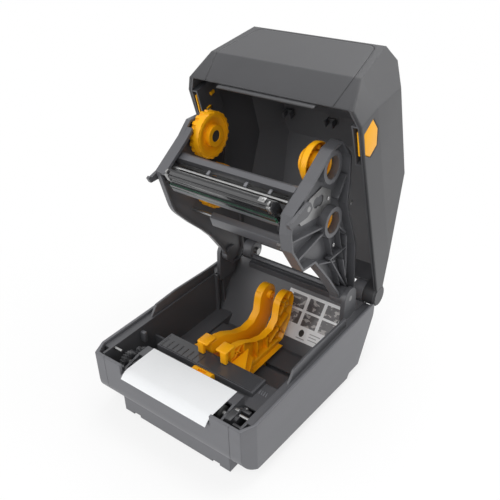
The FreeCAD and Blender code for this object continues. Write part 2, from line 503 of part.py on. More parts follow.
# Platen, gears, motor and boards
def toothed(plane, rim, bore, tooth_outline, count, width, at, phase):
    """A bored disc about the plane's normal with one tooth repeated round it."""
    body = doc.addObject("PartDesign::Body", "toothed")
    disc = body.newObject("Sketcher::SketchObject", "disc")
    base = [p for p in body.Origin.OriginFeatures if p.Role == plane + "_Plane"][0]
    disc.AttachmentSupport = [(base, "")]
    disc.MapMode = "FlatFace"
    for number, radius in enumerate((rim, bore)):
        disc.addGeometry(Part.Circle(FreeCAD.Vector(), FreeCAD.Vector(0, 0, 1), value(radius)), False)
        disc.addConstraint(Sketcher.Constraint("Coincident", number, 3, -1, 1))
        held = disc.addConstraint(Sketcher.Constraint("Radius", number, value(radius)))
        bind(disc, f"Constraints[{held}]", radius)
    blank = body.newObject("PartDesign::Pad", "blank")
    blank.Profile = disc
    tooth = body.newObject("PartDesign::Pad", "tooth")
    tooth.Profile = draw(body, plane, tooth_outline, "0")
    for pad in (blank, tooth):
        bind(pad, "Length", width)
    ring = body.newObject("PartDesign::PolarPattern", "ring")
    ring.Originals = [tooth]
    ring.Axis = (disc, ["N_Axis"])
    ring.Angle = 360
    bind(ring, "Occurrences", count)
    body.Tip = ring
    axle = FreeCAD.Vector(1, 0, 0) if plane == "YZ" else FreeCAD.Vector(0, 0, 1)
    body.Placement = FreeCAD.Placement(FreeCAD.Vector(), FreeCAD.Rotation(axle, 1))
    bind(body, "Placement.Rotation.Angle", phase)
    for axis, place in zip("xyz", at):
        bind(body, f"Placement.Base.{axis}", place)
    doc.recompute()
    return body


def gear(teeth, width, bore, x, y, z, phase, plane="YZ"):
    """A spur gear about the x axis, or about z."""
    pitch = f"(gear_module*{teeth}/2)"
    root = f"({pitch} - 1.25*gear_module)"
    at_pitch = "((1.5708*gear_module - gear_backlash)/2)"
    right = [(f"{root} - gear_module", f"{at_pitch} + 0.42*gear_module"), (root, f"{at_pitch} + 0.42*gear_module"),
             (f"{pitch} + gear_module", f"{at_pitch} - 0.4*gear_module")]
    left = [(r, f"-({side})") for r, side in reversed(right)]
    return toothed(plane, root, bore, right + left, teeth, width, (x, y, z), phase)


gear_x = "(-gear_near - gear_width)"
idler_phase = "(180 - idler_drop + 180/idler_teeth)"
idler_lead = f"mod(720 - pinion_drop - {idler_phase}; 360/idler_teeth)"
pinion_phase = f"(180 - pinion_drop + {idler_lead}*idler_teeth/pinion_teeth + 180/pinion_teeth)"
platen_at = ("platen_y", "platen_z")
shaft = rod("x", ("-shaft_left", "shaft_right"), platen_at, "shaft_radius")
node("platen_shaft", "base", shaft)
node("platen_rubber", "base", cut(rod("x", ("-platen_half", "platen_half"), platen_at, "platen_radius"),
                                  rod("x", ("-platen_half", "platen_half"), platen_at, "shaft_radius")))
node("platen_gear", "base", gear("platen_teeth", "gear_width", "shaft_radius", gear_x, *platen_at, "-idler_drop"))
bush_span = ("deck_half - chassis_wall", "deck_half")
bush = cut(rod("x", bush_span, platen_at, "bush_radius"), rod("x", bush_span, platen_at, "shaft_radius + running_gap"))
node("platen_bearings", "base", *right_and_left(bush))
idler_bore = "(stud_radius + running_gap)"
node("idler_gear", "base", gear("idler_teeth", "gear_width", idler_bore, gear_x, idler_y, idler_z, idler_phase))
node("idler_stud", "base", rod("x", ("-stud_end", "-deck_half + chassis_wall"), (idler_y, idler_z), "stud_radius"))
motor_at = (pinion_y, pinion_z)
motor_face = "(-deck_half + chassis_wall)"
pinion = fuse(gear("pinion_teeth", "gear_width", "motor_shaft_radius/2", gear_x, *motor_at, pinion_phase),
              rod("x", (gear_x, f"{motor_face} + motor_length/2"), motor_at, "motor_shaft_radius"))
node("motor_pinion", "base", pinion)
motor_can = fuse(rod("x", (motor_face, f"{motor_face} + motor_length"), motor_at, "motor_radius"),
                 rod("x", (f"{motor_face} + motor_length", f"{motor_face} + motor_length + 2"), motor_at,
                     "motor_radius/2"))
node("drive_motor", "base", cut(motor_can, rod("x", (motor_face, f"{motor_face} + motor_length/2 + 1"), motor_at,
                                               "motor_shaft_radius + running_gap")))
board_face = f"({board_y} - board_thickness)"
chips = [box((x, f"{x} + {wide}"), (f"{board_face} - {deep}", board_face), (f"board_low + {low}", f"board_low + {top}"))
         for x, wide, deep, low, top in (("-board_left + 12", 18, 3, 4, 20), ("board_right - 40", 12, 2, 8, 20),
                                         ("board_right - 20", 12, 9, 3, 18))]
board = box(("-board_left", "board_right"), (board_face, board_y), ("board_low", "board_high"))
node("main_board", "base", fuse(board, *chips))


def connector(x, width, bore_width, bores):
    shell = box((f"{x} - {width}/2", f"{x} + {width}/2"), ("port_front_y", "port_rear_y"),
                ("rear_foot_z + base_wall + seat_gap", "rear_foot_z + base_wall + port_height"))
    step = f"({width}/{bores})"
    mouths = [box((f"{x} - {width}/2 + {step}*({i} + 0.5) - {bore_width}/2",
                   f"{x} - {width}/2 + {step}*({i} + 0.5) + {bore_width}/2"),
                  ("port_rear_y - 6", "port_rear_y + 1"),
                  ("rear_foot_z + base_wall + 1.5", "rear_foot_z + base_wall + port_height - 1.5"))
              for i in range(bores)]
    return cut(shell, *mouths)


node("power_inlet", "base", connector("inlet_x", "port_width", "port_height", 1))
node("interface_ports", "base", connector("ports_x", "ports_width", "port_height", 3))


# Roll guides with their racks, the pinion between them and the movable sensor
rack_near = "(gear_module*(guide_pinion_teeth/2 + 1.25))"
rack_z = ("(trough_z + free_gap/2)", "(trough_z + rack_height)")
arm_x = ("guide_inner", "guide_inner + guide_thickness")
foot_x = ("guide_inner", "guide_inner + guide_foot")


def rack(turn):
    """A toothed bar beside the pinion; the second one is the first turned half way round the pinion."""
    body = doc.addObject("PartDesign::Body", "rack")
    end = "(guide_inner + guide_foot - guide_wall)"
    bar = body.newObject("PartDesign::Pad", "bar")
    bar.Profile = draw(body, "XY", [
        (f"{end} - rack_length", rack_near), (end, rack_near), (end, f"{rack_near} + rack_width"),
        (f"{end} - rack_length", f"{rack_near} + rack_width"),
    ], rack_z[0])
    pitch = "(3.14159265*gear_module)"
    at_pitch = "((1.5708*gear_module - gear_backlash)/2)"
    count = int(value(f"(rack_length - 12*gear_module)/{pitch}"))
    middle = f"({end} - rack_length + mod(rack_length - {end}; {pitch}) + {pitch}/2)"
    profile = draw(body, "XY", [
        (f"{middle} - {at_pitch} - 0.42*gear_module", f"{rack_near} + 0.2"),
        (f"{middle} - {at_pitch} + 0.36*gear_module", f"{rack_near} - 2.1*gear_module"),
        (f"{middle} + {at_pitch} - 0.36*gear_module", f"{rack_near} - 2.1*gear_module"),
        (f"{middle} + {at_pitch} + 0.42*gear_module", f"{rack_near} + 0.2"),
    ], rack_z[0])
    tooth = body.newObject("PartDesign::Pad", "tooth")
    tooth.Profile = profile
    for pad in (bar, tooth):
        bind(pad, "Length", f"{rack_z[1]} - {rack_z[0]}")
    row = body.newObject("PartDesign::LinearPattern", "row")
    row.Originals = [tooth]
    row.Direction = (profile, ["H_Axis"])
    bind(row, "Length", f"{pitch}*{count - 1}")
    row.Occurrences = count
    body.Tip = row
    body.Placement = FreeCAD.Placement(FreeCAD.Vector(), FreeCAD.Rotation(FreeCAD.Vector(0, 0, 1), turn))
    bind(body, "Placement.Base.y", "guide_pinion_y")
    doc.recompute()
    return body


def roll_guide():
    """The right-hand guide without its rack: roll arm, front finger and wing, at the inner end of its travel."""
    arm = prism("YZ", [
        ("guide_pinion_y - 24", "guide_step_z"), ("guide_pinion_y + 36", "guide_step_z"),
        ("guide_pinion_y + 43", "wing_low_z - 4"), ("arm_top_y + arm_top_radius", "arm_top_z - 8"),
        ("arm_top_y + arm_top_radius", "arm_top_z + arm_top_radius"),
        ("arm_top_y - arm_top_radius", "arm_top_z + arm_top_radius"), ("arm_top_y - arm_top_radius", "arm_top_z - 4"),
        ("guide_pinion_y + 28", "wing_low_z + 14"), ("guide_pinion_y + 15", "wing_low_z + 6"),
        ("guide_pinion_y - 16", "wing_low_z + 2"), ("guide_pinion_y - 24", "wing_low_z - 6"),
    ], arm_x, [("arm_top_radius*0.95", [4, 5]), ("10", [2, 7, 8])], (1, "guide_wall"))
    foot = prism("YZ", [
        ("guide_pinion_y - 24", "guide_low_z"), ("guide_pinion_y + 30", "guide_low_z"),
        ("guide_pinion_y + 36", "guide_step_z + guide_wall"), ("guide_pinion_y - 24", "guide_step_z + guide_wall"),
    ], foot_x)
    ribs = [prism("YZ", [(f"guide_pinion_y + {a}", f"guide_step_z + {b}"), (f"guide_pinion_y + {c}", f"guide_step_z + {d}"),
                         (f"guide_pinion_y + {c} + guide_wall", f"guide_step_z + {d}"),
                         (f"guide_pinion_y + {a} + guide_wall", f"guide_step_z + {b}")], arm_x)
            for a, b, c, d in (("14", "1", "38", "31"), ("32", "3", "12", "19"))]
    peg = rod("x", ("guide_inner - peg_length", "guide_inner + guide_wall/2"), ("arm_top_y", "arm_top_z"), "peg_radius")
    shoulder = prism("YZ", [
        ("wing_y", "wing_low_z"), ("guide_pinion_y - 22", "wing_low_z - 8"), ("guide_pinion_y - 22", "wing_low_z + 4"),
        ("guide_pinion_y - 30", "wing_top_z"),
        ("wing_y", "wing_top_z"),
    ], ("guide_inner", "finger_outer"))
    wing = prism("XZ", [
        ("guide_inner", "wing_low_z"), ("finger_outer + 10", "wing_low_z"), ("wing_outer", "wing_low_z - 4"),
        ("wing_outer", "wing_low_z + 4"), ("finger_outer", "wing_top_z"), ("guide_inner", "wing_top_z"),
    ], ("wing_y - finger_wall", "wing_y + finger_wall"))
    finger_x = ("finger_inner", "finger_outer")
    riser = box(finger_x, ("wing_y - finger_wall", "wing_y + finger_wall"), ("wing_top_z - 4", "finger_top_z"))
    bridge = box(finger_x, ("finger_front_y", "wing_y + finger_wall"), ("finger_top_z - finger_wall", "finger_top_z"))
    nail = box(finger_x, ("finger_front_y", "finger_front_y + finger_wall + 1"),
               ("deck_z + scale_thickness + free_gap", "finger_top_z"))
    return fuse(arm, foot, peg, shoulder, wing, riser, bridge, nail, *ribs)


def rack_stem(side):
    """The block that ties an arm to its rack."""
    x = foot_x if side > 0 else ("-guide_inner - guide_foot", "-guide_inner")
    far = f"({rack_near} + rack_width)"
    y = (rack_near, far) if side > 0 else (f"-{far}", f"-{rack_near}")
    return box(x, tuple(f"guide_pinion_y + {place}" for place in y), (rack_z[0], "guide_low_z + guide_wall/2"))


guide = roll_guide()
node("roll_guide_right", "base", fuse(guide, rack(0), rack_stem(1)))
node("roll_guide_left", "base", fuse(mirrored(guide), rack(180), rack_stem(-1)))
node("guide_pinion", "base", gear("guide_pinion_teeth", "rack_height - free_gap/2", "pinion_axle + running_gap", "0",
                                  "guide_pinion_y", rack_z[0], "90", "XY"))
slider = prism("YZ", [
    ("channel_front + free_gap", "channel_z + seat_gap"), ("channel_rear - free_gap", "channel_z + seat_gap"),
    ("channel_rear - free_gap", "slider_top_z - 2"), ("channel_rear - 3", "slider_top_z"),
    ("channel_front + 3", "slider_top_z"), ("channel_front + free_gap", "slider_top_z - 2"),
], ("-slider_left", "slider_right"))
slider_window = box(("-slider_left + 7", "slider_right - 7"), ("channel_front + 4", "channel_rear - 4"),
                    ("slider_top_z - 2", "slider_top_z + 1"))
node("sensor_slider", "base", cut(slider, slider_window))


# Lid: shell, front panel, liner, control panel, keys and release buttons
lid_low = "(rim_z + lid_gap)"


def lid_form(inset, low):
    """The lid's outer form, or the hollow inside it when inset."""
    body = doc.addObject("PartDesign::Body", "lid_form")
    front = f"({inset})*0.62"
    rear = f"(lid_rear_y - ({inset}))"
    sections = []
    for z, width, y, side, side_y in (
            (low, front_half, "0", half, "corner_depth"),
            ("ridge_z", "(ridge_width/2)", "ridge_y", f"({half} - 0.5)", "corner_depth"),
            ("brow_z", "(brow_width/2)", "brow_y", "brow_side", "brow_side_y"),
            ("lid_top_z + 1", "(brow_width/2 - 4)", "(brow_y + 4)", "(brow_side - 1.5)", "(brow_side_y + 4)")):
        right = [(f"{width} - {front}", f"{y} + ({inset})"), (f"{side} - ({inset})", f"{side_y} + ({inset})*0.4"),
                 (f"{side} - ({inset})", rear)]
        left = [(f"-({x})", depth) for x, depth in reversed(right)]
        sections.append(draw(body, "XY", right + left, z))
    loft = body.newObject("PartDesign::AdditiveLoft", "loft")
    loft.Profile = sections[0]
    loft.Sections = sections[1:]
    loft.Ruled = True
    body.Tip = loft
    doc.recompute()
    rise = "((lid_fore_z - brow_z)/(lid_fore_y - brow_y))"
    profile = prism("YZ", [
        ("-40", "0"), (rear, "0"), (rear, "lid_rear_high_z"), (f"lid_aft_y - ({inset})*0.5", f"lid_aft_z - ({inset})*0.9"),
        ("lid_top_y", f"lid_top_z - ({inset})"), ("lid_fore_y", f"lid_fore_z - ({inset})"),
        ("-40", f"brow_z - {rise}*(40 + brow_y) - ({inset})*1.1"),
    ], (f"-{half}", half), [("12", [2]), ("32", [3]), ("70", [4, 5])] if inset == "0" else [])
    lean = "((lid_top_z - shoulder_drop - shoulder_side_z)/(brow_side + 1 - shoulder_top))"
    edge = f"({half} + 2)"
    edge_z = f"(shoulder_side_z - {lean}*({edge} - brow_side - 1))"
    peak = "(lid_top_z + 20)"
    peak_x = f"(shoulder_top - ({peak} - lid_top_z + shoulder_drop)/{lean} - ({inset})*1.2)"
    across = prism("XZ", [
        (f"-{edge}", "0"), (edge, "0"), (edge, f"{edge_z} - ({inset})*1.2*{lean}"), (peak_x, peak), (f"-{peak_x}", peak),
        (f"-{edge}", f"{edge_z} - ({inset})*1.2*{lean}"),
    ], ("-40", "lid_rear_y + 1"))
    fall = "atan((lid_aft_z - lid_rear_high_z)/(lid_rear_y - lid_aft_y))"
    drop = f"((lid_top_z - shoulder_side_z)*cos({fall}))"
    steep = f"(({drop} - shoulder_drop)/(brow_side + 1 - shoulder_top))"
    slope_x = f"(shoulder_top - (40 + shoulder_drop)/{steep} - ({inset})*1.2)"
    slope_z = f"(-{drop} - {steep}*({edge} - brow_side - 1) - ({inset})*1.2*{steep})"
    down_rear = prism("XZ", [
        (f"-{edge}", "-300"), (edge, "-300"), (edge, slope_z), (slope_x, "40"), (f"-{slope_x}", "40"),
        (f"-{edge}", slope_z),
    ], ("-150", "300"))
    down_rear.Placement = FreeCAD.Placement(FreeCAD.Vector(), FreeCAD.Rotation(FreeCAD.Vector(1, 0, 0), -1))
    bind(down_rear, "Placement.Rotation.Angle", f"-{fall}")
    bind(down_rear, "Placement.Base.y", "lid_aft_y")
    bind(down_rear, "Placement.Base.z", f"lid_aft_z - ({inset})*1.1")
    return common(body, profile, across, down_rear)


def release_hexagon(grow, span):
    """The release button's six-sided outline on a side wall."""
    return prism("YZ", [
        (f"button_y - 12.3 - {grow}", f"button_z - 11.6 - {grow}"), (f"button_y + 9.6 + {grow}*0.5", f"button_z - 13.1 - {grow}"),
        (f"button_y + 17.4 + {grow}*1.2", f"button_z - 4.9 - {grow}*0.5"), (f"button_y + 13.5 + {grow}", f"button_z + 9 + {grow}*0.7"),
        (f"button_y - 2.7", f"button_z + 13 + {grow}*1.1"), (f"button_y - 16.9 - {grow}*1.2", f"button_z + 6.4 + {grow}*0.5"),
    ], span)


lid_outer = lid_form("0", lid_low)
lid_inner = lid_form("lid_wall", f"({lid_low} - 6)")
lid_core = lid_form("lid_wall + liner_wall", f"({lid_low} - 12)")
rear_slot = box(("-ear_outer - free_gap", "ear_outer + free_gap"), ("rear_slot_y", "lid_rear_y + 10"), ("0", "rear_slot_z"))
barrel_span = ("ear_outer + free_gap", "barrel_outer")
barrel = rod("x", barrel_span, ("hinge_y", "hinge_z"), "barrel_radius")
knuckle_block = box(barrel_span, ("hinge_y - barrel_radius", "lid_rear_y - lid_wall/2"),
                    ("hinge_z", "hinge_z + barrel_radius + 4"))
knuckle = fuse(barrel, common(knuckle_block, lid_outer))
hex_room = fuse(*right_and_left(release_hexagon("button_gap", ("bay_half", f"{half} + 1"))))
below = box((f"-{half}", half), ("-40", "hinge_y - barrel_radius - 1"), ("0", lid_low))
pin_room = rod("x", (f"-{half}", half), ("hinge_y", "hinge_z"), "hinge_pin_radius + running_gap")


def panel_zone(grow, depth):
    """The part of the lid's front wall that is a panel of its own."""
    right = [(f"panel_low_half + {grow}", "lip_z - 10"), (f"panel_low_half + {grow}", lid_low),
             (f"panel_half + {grow}", "ridge_z"), (f"panel_top_half + {grow}", f"panel_top_z + {grow}")]
    left = [(f"-({x})", z) for x, z in reversed(right)]
    return prism("XZ", right + left, ("-40", depth), [("panel_corner", [3, 4])])


wall_of_lid = cut(lid_outer, lid_inner)
panel_depth = "corner_depth - 3"
shell = cut(wall_of_lid, panel_zone("panel_gap", panel_depth), rear_slot, hex_room)
cap_room = rod("x", ("barrel_outer", f"{half} + 1"), ("hinge_y", "hinge_z"), "barrel_radius - 1 + seat_gap")
node("lid_shell", "lid", cut(fuse(shell, *right_and_left(knuckle)), pin_room, *right_and_left(cap_room)))
lip = box(("-lip_half", "lip_half"), ("lid_wall/2", "lid_wall - seat_gap"), ("lip_z", f"{lid_low} + 1"))
node("lid_front_panel", "lid", fuse(common(wall_of_lid, panel_zone("0", panel_depth)), lip))
liner = cut(common(lid_inner, box((f"-{half}", half), ("-40", "lid_rear_y"), (lid_low, "lid_top_z"))), lid_core)
knuckle_room = box((f"-{half}", half), ("hinge_y - barrel_radius - seat_gap", "lid_rear_y"),
                   ("0", "hinge_z + barrel_radius + 4 + seat_gap"))
release_face = f"({half} - lid_wall - liner_wall - 0.75)"
cover_face = f"({release_face} - button_flange - button_travel - free_gap)"


def release_tabs(grow, span):
    """The two tabs of a release button, or the slots that they pass through when grown."""
    return [box(span, (f"button_y + {y} - {grow}", f"button_y + {y} + button_tab + {grow}"),
                (f"button_z + {z} - {grow}", f"button_z + {z} + 2*button_tab + {grow}"))
            for y, z in (("(-9)", "2"), ("3", "(-8)"))]


cover_block = box((f"{cover_face} - liner_wall", f"{half} - lid_wall - liner_wall + 0.2"),
                  ("button_y - 21", "button_y + 22"), (f"{lid_low} + free_gap", "button_z + 17"))
cover_room = box((cover_face, half), ("button_y - 21 + liner_wall", "button_y + 22 - liner_wall"),
                 ("0", "button_z + 17 - liner_wall"))
cover = cut(cover_block, cover_room, *release_tabs("free_gap", ("0", half)))
node("lid_liner", "lid", fuse(cut(liner, rear_slot, hex_room, knuckle_room), *right_and_left(cover)))
cap = rod("x", ("barrel_outer", "barrel_outer + cap_width"), ("hinge_y", "hinge_z"), "barrel_radius - 1")
node("hinge_caps", "lid", *right_and_left(cap))
tilt = "((lid_top_z - lid_fore_z)/(lid_top_y - lid_fore_y))"


def top_z(y):
    """Height of the lid's top in front of its crown."""
    return f"(lid_fore_z + {tilt}*({y} - lid_fore_y))"


control_y = ("(panel_y - control_length/2)", "(panel_y + control_length/2)")
control = prism("YZ", [
    (control_y[0], top_z(control_y[0])), (control_y[1], top_z(control_y[1])),
    (control_y[1], top_z(control_y[1]) + " + control_height"), (control_y[0], top_z(control_y[0]) + " + control_height"),
], ("-control_width/2", "control_width/2"))
key_z = (top_z("panel_y") + f" + key_travel + free_gap + key_radius*{tilt}",
         top_z("panel_y") + " + control_height + 1.2")
key_holes = [rod("z", ("lid_fore_z - 4", "lid_top_z + 10"), (f"{side}*key_spacing", "panel_y"), "key_radius + running_gap")
             for side in (-1, 1)]
node("control_panel", "lid", cut(control, *key_holes))
node("power_button", "lid", rod("z", key_z, ("-key_spacing", "panel_y"), "key_radius"))
node("feed_button", "lid", rod("z", key_z, ("key_spacing", "panel_y"), "key_radius"))
release = fuse(release_hexagon("0", (f"{release_face} - button_flange", "button_proud")),
               release_hexagon("1.6", (f"{release_face} - button_flange", release_face)),
               *release_tabs("0", (f"{cover_face} - liner_wall - 1.5", release_face)))
node("release_button_right", "lid", release)
node("release_button_left", "lid", mirrored(release))


# Ribbon carriage: side plates, crossbar, tray, rods, printhead, latch and hubs
def behind_platen(*points):
    """Outline points given by their depth behind the platen and their height over the carriage's pivot."""
    return [(f"platen_y + ({y})", f"pivot_z + ({z})") for y, z in points]


def near_pivot(*points):
    """Outline points given from the carriage's pivot."""
    return [(f"pivot_y + ({y})", f"pivot_z + ({z})") for y, z in points]


arm_outline = near_pivot((-50, -12.2), (-16, -7.7), (12, -7.2), (21, 6.8), (14, 18.8), (-40, 42.8))
right_outline = [
    *behind_platen((7.5, -23.2), (22, -34.2), (39.5, -40.2), (73.5, -37.7), (85.5, -20.2)), *arm_outline,
    *behind_platen((77.5, 48.8), (58.5, 62.8), (34.5, 73.8), (8.5, 67.8), (2.5, 49.8), (6.5, 12.8)),
]
left_outline = [
    *behind_platen((2.5, -24.4), (52.5, -34.6), (84.5, -25.7), (109.5, -17.2)), *arm_outline,
    *behind_platen((77.5, 48.8), (58.5, 62.8), (34.5, 73.8), (8.5, 67.8), (-7.5, 35.8), (-2.5, 17.8)),
]
right_x = ("plate_inner", "plate_outer")
left_x = ("-plate_outer", "-left_rim")
takeup_at = ("takeup_y", "takeup_z")
supply_at = ("supply_y", "supply_z")
pivot_at = ("pivot_y", "pivot_z")
latch_at = ("latch_y", "latch_z")
pin_room_radius = "pivot_pin_radius + running_gap"


def web(start, end):
    """A rib of one wall's thickness in the right plate's pocket."""
    (y, z), (far_y, far_z) = behind_platen(start, end)
    return prism("YZ", [(y, z), (f"{y} + plate_wall", z), (f"{far_y} + plate_wall", far_z), (far_y, far_z)],
                 ("plate_inner + plate_wall/2", "plate_outer - plate_wall"))


webs = [web(*ends) for ends in (((31, -35), (66, 10)), ((58, -37), (72, 8)), ((86, 10), (160, 2)), ((84, 30), (158, 14)),
                                ((96, -14), (122, 8)), ((50, 62), (60, 40)))]
right_plate = fuse(
    prism("YZ", right_outline, right_x, [("8", [13, 14, 15]), ("8", [7, 8])], (1, "plate_wall")), *webs,
    rod("x", right_x, takeup_at, "ring_radius"), rod("x", right_x, supply_at, "ring_radius"),
    rod("x", ("plate_inner", "pivot_boss_end"), pivot_at, "pivot_boss_radius"),
    rod("x", right_x, latch_at, "latch_shaft_radius + plate_wall"),
)
bore = "spindle_radius + running_gap"
through_right = ("plate_inner - 1", "plate_outer + 1")
node("carriage_plate_right", "carriage", cut(
    right_plate, rod("x", through_right, takeup_at, bore), rod("x", through_right, supply_at, bore),
    rod("x", ("plate_outer - 4 - seat_gap", "pivot_boss_end + 1"), pivot_at, pin_room_radius),
    rod("x", through_right, latch_at, "latch_shaft_radius + running_gap"),
))
front_flange = prism("YZ", behind_platen((2.5, -24.4), (6, -24.4), (1.2, 17.8), (-1.8, 28), (-5.3, 29), (-2.5, 17.8)),
                     ("-left_rim - 1", "-plate_inner"))
left_plate = fuse(
    prism("YZ", left_outline, left_x, [("6", [11, 12, 13]), ("8", [6, 7]), ("40", [1])], (1, "plate_wall")), front_flange,
    rod("x", left_x, takeup_at, "hub_shaft_radius + 4"), rod("x", left_x, supply_at, "hub_shaft_radius + 4"),
    rod("x", ("-pivot_boss_end", "-left_rim"), pivot_at, "pivot_boss_radius"),
    rod("x", left_x, latch_at, "latch_shaft_radius + plate_wall"),
)
hub_bore = "hub_shaft_radius + running_gap"
through_left = ("-plate_outer - 1", "-left_rim + 1")
node("carriage_plate_left", "carriage", cut(
    left_plate, rod("x", through_left, takeup_at, hub_bore), rod("x", through_left, supply_at, hub_bore),
    rod("x", ("-pivot_boss_end - 1", "-plate_outer + 4 + seat_gap"), pivot_at, pin_room_radius),
    rod("x", through_left, latch_at, "latch_shaft_radius + running_gap"),
))
inside = ("-plate_outer + plate_wall", "plate_inner")
bar = prism("YZ", [
    ("bar_front_y", "bar_low_z"), ("bar_rear_y", "bar_low_z"), ("bar_rear_y", "bar_top_z"),
    ("bar_front_y + 3", "bar_top_z"), ("bar_front_y", "bar_top_z - 4"),
], inside)
bar_hollow = box(("-head_half", "head_half"), ("bar_front_y + bar_wall", "bar_rear_y - bar_wall"),
                 ("bar_low_z + bar_wall", "bar_top_z + 1"))
node("carriage_crossbar", "carriage", cut(bar, bar_hollow))
tray = prism("YZ", [
    ("tray_front_y", "tray_front_z + 6"), ("tray_front_y", "tray_front_z"), ("tray_edge_y", "tray_edge_z"),
    ("tray_edge_y", "tray_edge_z + tray_thickness"), ("tray_front_y + tray_thickness", "tray_front_z + tray_thickness"),
    ("tray_front_y + tray_thickness", "tray_front_z + 6"),
], inside)
node("ribbon_tray", "carriage", tray)
node("guide_rods", "carriage", rod("x", inside, ("rod_y", "rod_z"), "rod_radius"),
     rod("x", inside, ("rear_rod_y", "rear_rod_z"), "rod_radius"),
     box(inside, ("strip_y", "strip_y + strip_depth"), ("strip_z", "strip_z + rod_radius")))
bracket_low = "(plate_inner + plate_wall)"
bracket = prism("YZ", behind_platen((28.5, -13.2), (40.5, -11.2), (58.5, 14.8), (65.5, 32.8), (50.5, 40.8), (34.5, 30.8),
                                    (28.5, 10.8)), (bracket_low, f"{bracket_low} + bracket_thickness"))
oval = fuse(*[rod("x", right_x, at, "5.5") for at in behind_platen((41, 17), (44.6, 23))])
ring_rooms = [rod("x", right_x, at, "ring_radius + free_gap") for at in (takeup_at, supply_at)]
node("hub_bracket", "carriage", cut(bracket, oval, *ring_rooms))
node("head_pin", "carriage", rod("x", inside, ("head_pin_y", "head_pin_z"), "head_pin_radius"))
head = prism("YZ", [
    ("head_front_y", "head_low_z + 3"), ("head_front_y + 3", "head_low_z"), ("head_rear_y", "head_low_z"),
    ("head_rear_y", "head_top_z"), ("head_front_y + 7", "head_top_z"), ("head_front_y", "head_low_z + 5"),
], ("-head_half", "head_half"))
node("printhead_bar", "carriage", cut(head, rod("x", ("-head_half", "head_half"), ("head_pin_y", "head_pin_z"),
                                                "head_pin_radius + running_gap")))
node("printhead_board", "carriage", box(("-head_half - 1", "head_half + 1"), ("head_rear_y - 8", "head_rear_y - 3"),
                                        ("head_board_z", "head_low_z")))
node("latch_shaft", "carriage", rod("x", ("-hook_outer", "hook_outer"), latch_at, "latch_shaft_radius"))
hook = prism("YZ", [
    ("latch_y - 5", "latch_z + 5"), ("latch_y + 5", "latch_z + 5"), ("latch_y + 5", "latch_z - 5"),
    ("hook_toe_y + 6", "hook_toe_z"), ("hook_toe_y", "hook_toe_z"), ("hook_toe_y", "hook_toe_z + 3"),
    ("hook_toe_y + 2", "hook_toe_z + 4"),
], ("hook_inner", "hook_outer"), [("3", [0, 1])])
hook = cut(hook, rod("x", ("hook_inner", "hook_outer"), latch_at, "latch_shaft_radius"))
node("latch_hooks", "carriage", *right_and_left(hook))


def near_hub(at, end):
    """A left-hand ribbon hub: lugged drum with a dished face, a raised centre and a stem through the plate."""
    rim = "(hub_radius - 1.5)"
    lug = [(f"{rim} - 1", "2"), (rim, "2"), ("hub_radius", "1.6"), ("hub_radius", "-1.6"), (rim, "-2"), (f"{rim} - 1", "-2")]
    drum = toothed("YZ", rim, "hub_screw_radius", lug, "hub_lugs", "hub_outer - hub_inner", ("-hub_outer", *at), "0")
    dish_span = ("-hub_inner - core_length", "-hub_inner + 1")
    dish = cut(cone("x", dish_span, at, "core_radius + 2", "hub_radius - 3"), rod("x", dish_span, at, "core_radius"))
    centre_span = ("-hub_inner - core_length", "-hub_inner + core_length")
    centre = cut(rod("x", centre_span, at, "core_radius"), rod("x", centre_span, at, "hub_screw_radius"))
    back = rod("x", ("-hub_outer", "-hub_outer + plate_wall"), at, "hub_screw_radius + 1")
    return fuse(cut(drum, dish), centre, back, rod("x", (end, "-hub_outer + 1"), at, "hub_shaft_radius"))


def hub_screw(at):
    return rod("x", ("-hub_outer + plate_wall", "-hub_inner + core_length - 0.8"), at, "hub_screw_radius - running_gap")


def far_hub(at):
    """A right-hand ribbon hub: thin flared cup with a core inside it, and a slotted spindle in the plate's ring."""
    narrow = "(far_hub_x + far_hub_depth)"
    cup = cut(cone("x", ("far_hub_x", narrow), at, "far_hub_radius", "spindle_radius"),
              cone("x", ("far_hub_x", f"{narrow} - 2"), at, "far_hub_radius - 1.6", "spindle_radius + 0.3"))
    core = rod("x", ("far_hub_x + 1", narrow), at, "core_radius - 3")
    spindle = rod("x", (f"{narrow} - 1", "spindle_end"), at, "spindle_radius")
    slot = box(("spindle_end - 4", "spindle_end + 1"), (f"{at[0]} - 1.6", f"{at[0]} + 1.6"), (f"{at[1]} - 8", f"{at[1]} + 8"))
    return fuse(cup, core, cut(spindle, slot))


node("takeup_hub_left", "carriage", near_hub(takeup_at, "-hub_shaft_end"))
node("supply_hub_left", "carriage", near_hub(supply_at, "-plate_outer - 1"))
node("takeup_hub_screw", "carriage", hub_screw(takeup_at))
node("supply_hub_screw", "carriage", hub_screw(supply_at))
node("takeup_hub_right", "carriage", far_hub(takeup_at))
node("supply_hub_right", "carriage", far_hub(supply_at))
node("takeup_gear", "carriage", gear("takeup_teeth", "hub_shaft_end - plate_outer - 1", "hub_shaft_radius",
                                     "-hub_shaft_end", *takeup_at, "0"))


# Check every object and write one file for each sub-part
doc.recompute()
doc.removeObject("probe")
for thing in doc.Objects:
    if "Invalid" in thing.State or "Error" in thing.State:
        raise RuntimeError(f"{thing.Name} ({thing.TypeId}) was not rebuilt: {thing.State}")
os.makedirs("parts", exist_ok=True)
for label, part in nodes.items():
    if part.Shape.isNull() or not part.Shape.isValid() or not part.Shape.Solids:
        raise RuntimeError(f"{label} is not a valid solid")
    part.Shape.exportStep(f"parts/{label}.step")
    limits = part.Shape.BoundBox
    print(label, len(part.Shape.Solids), "solids", [round(v, 1) for v in (
        limits.XMin, limits.XMax, limits.YMin, limits.YMax, limits.ZMin, limits.ZMax)])
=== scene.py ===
import json
import math
import bmesh
import bpy
from mathutils import Matrix, Vector


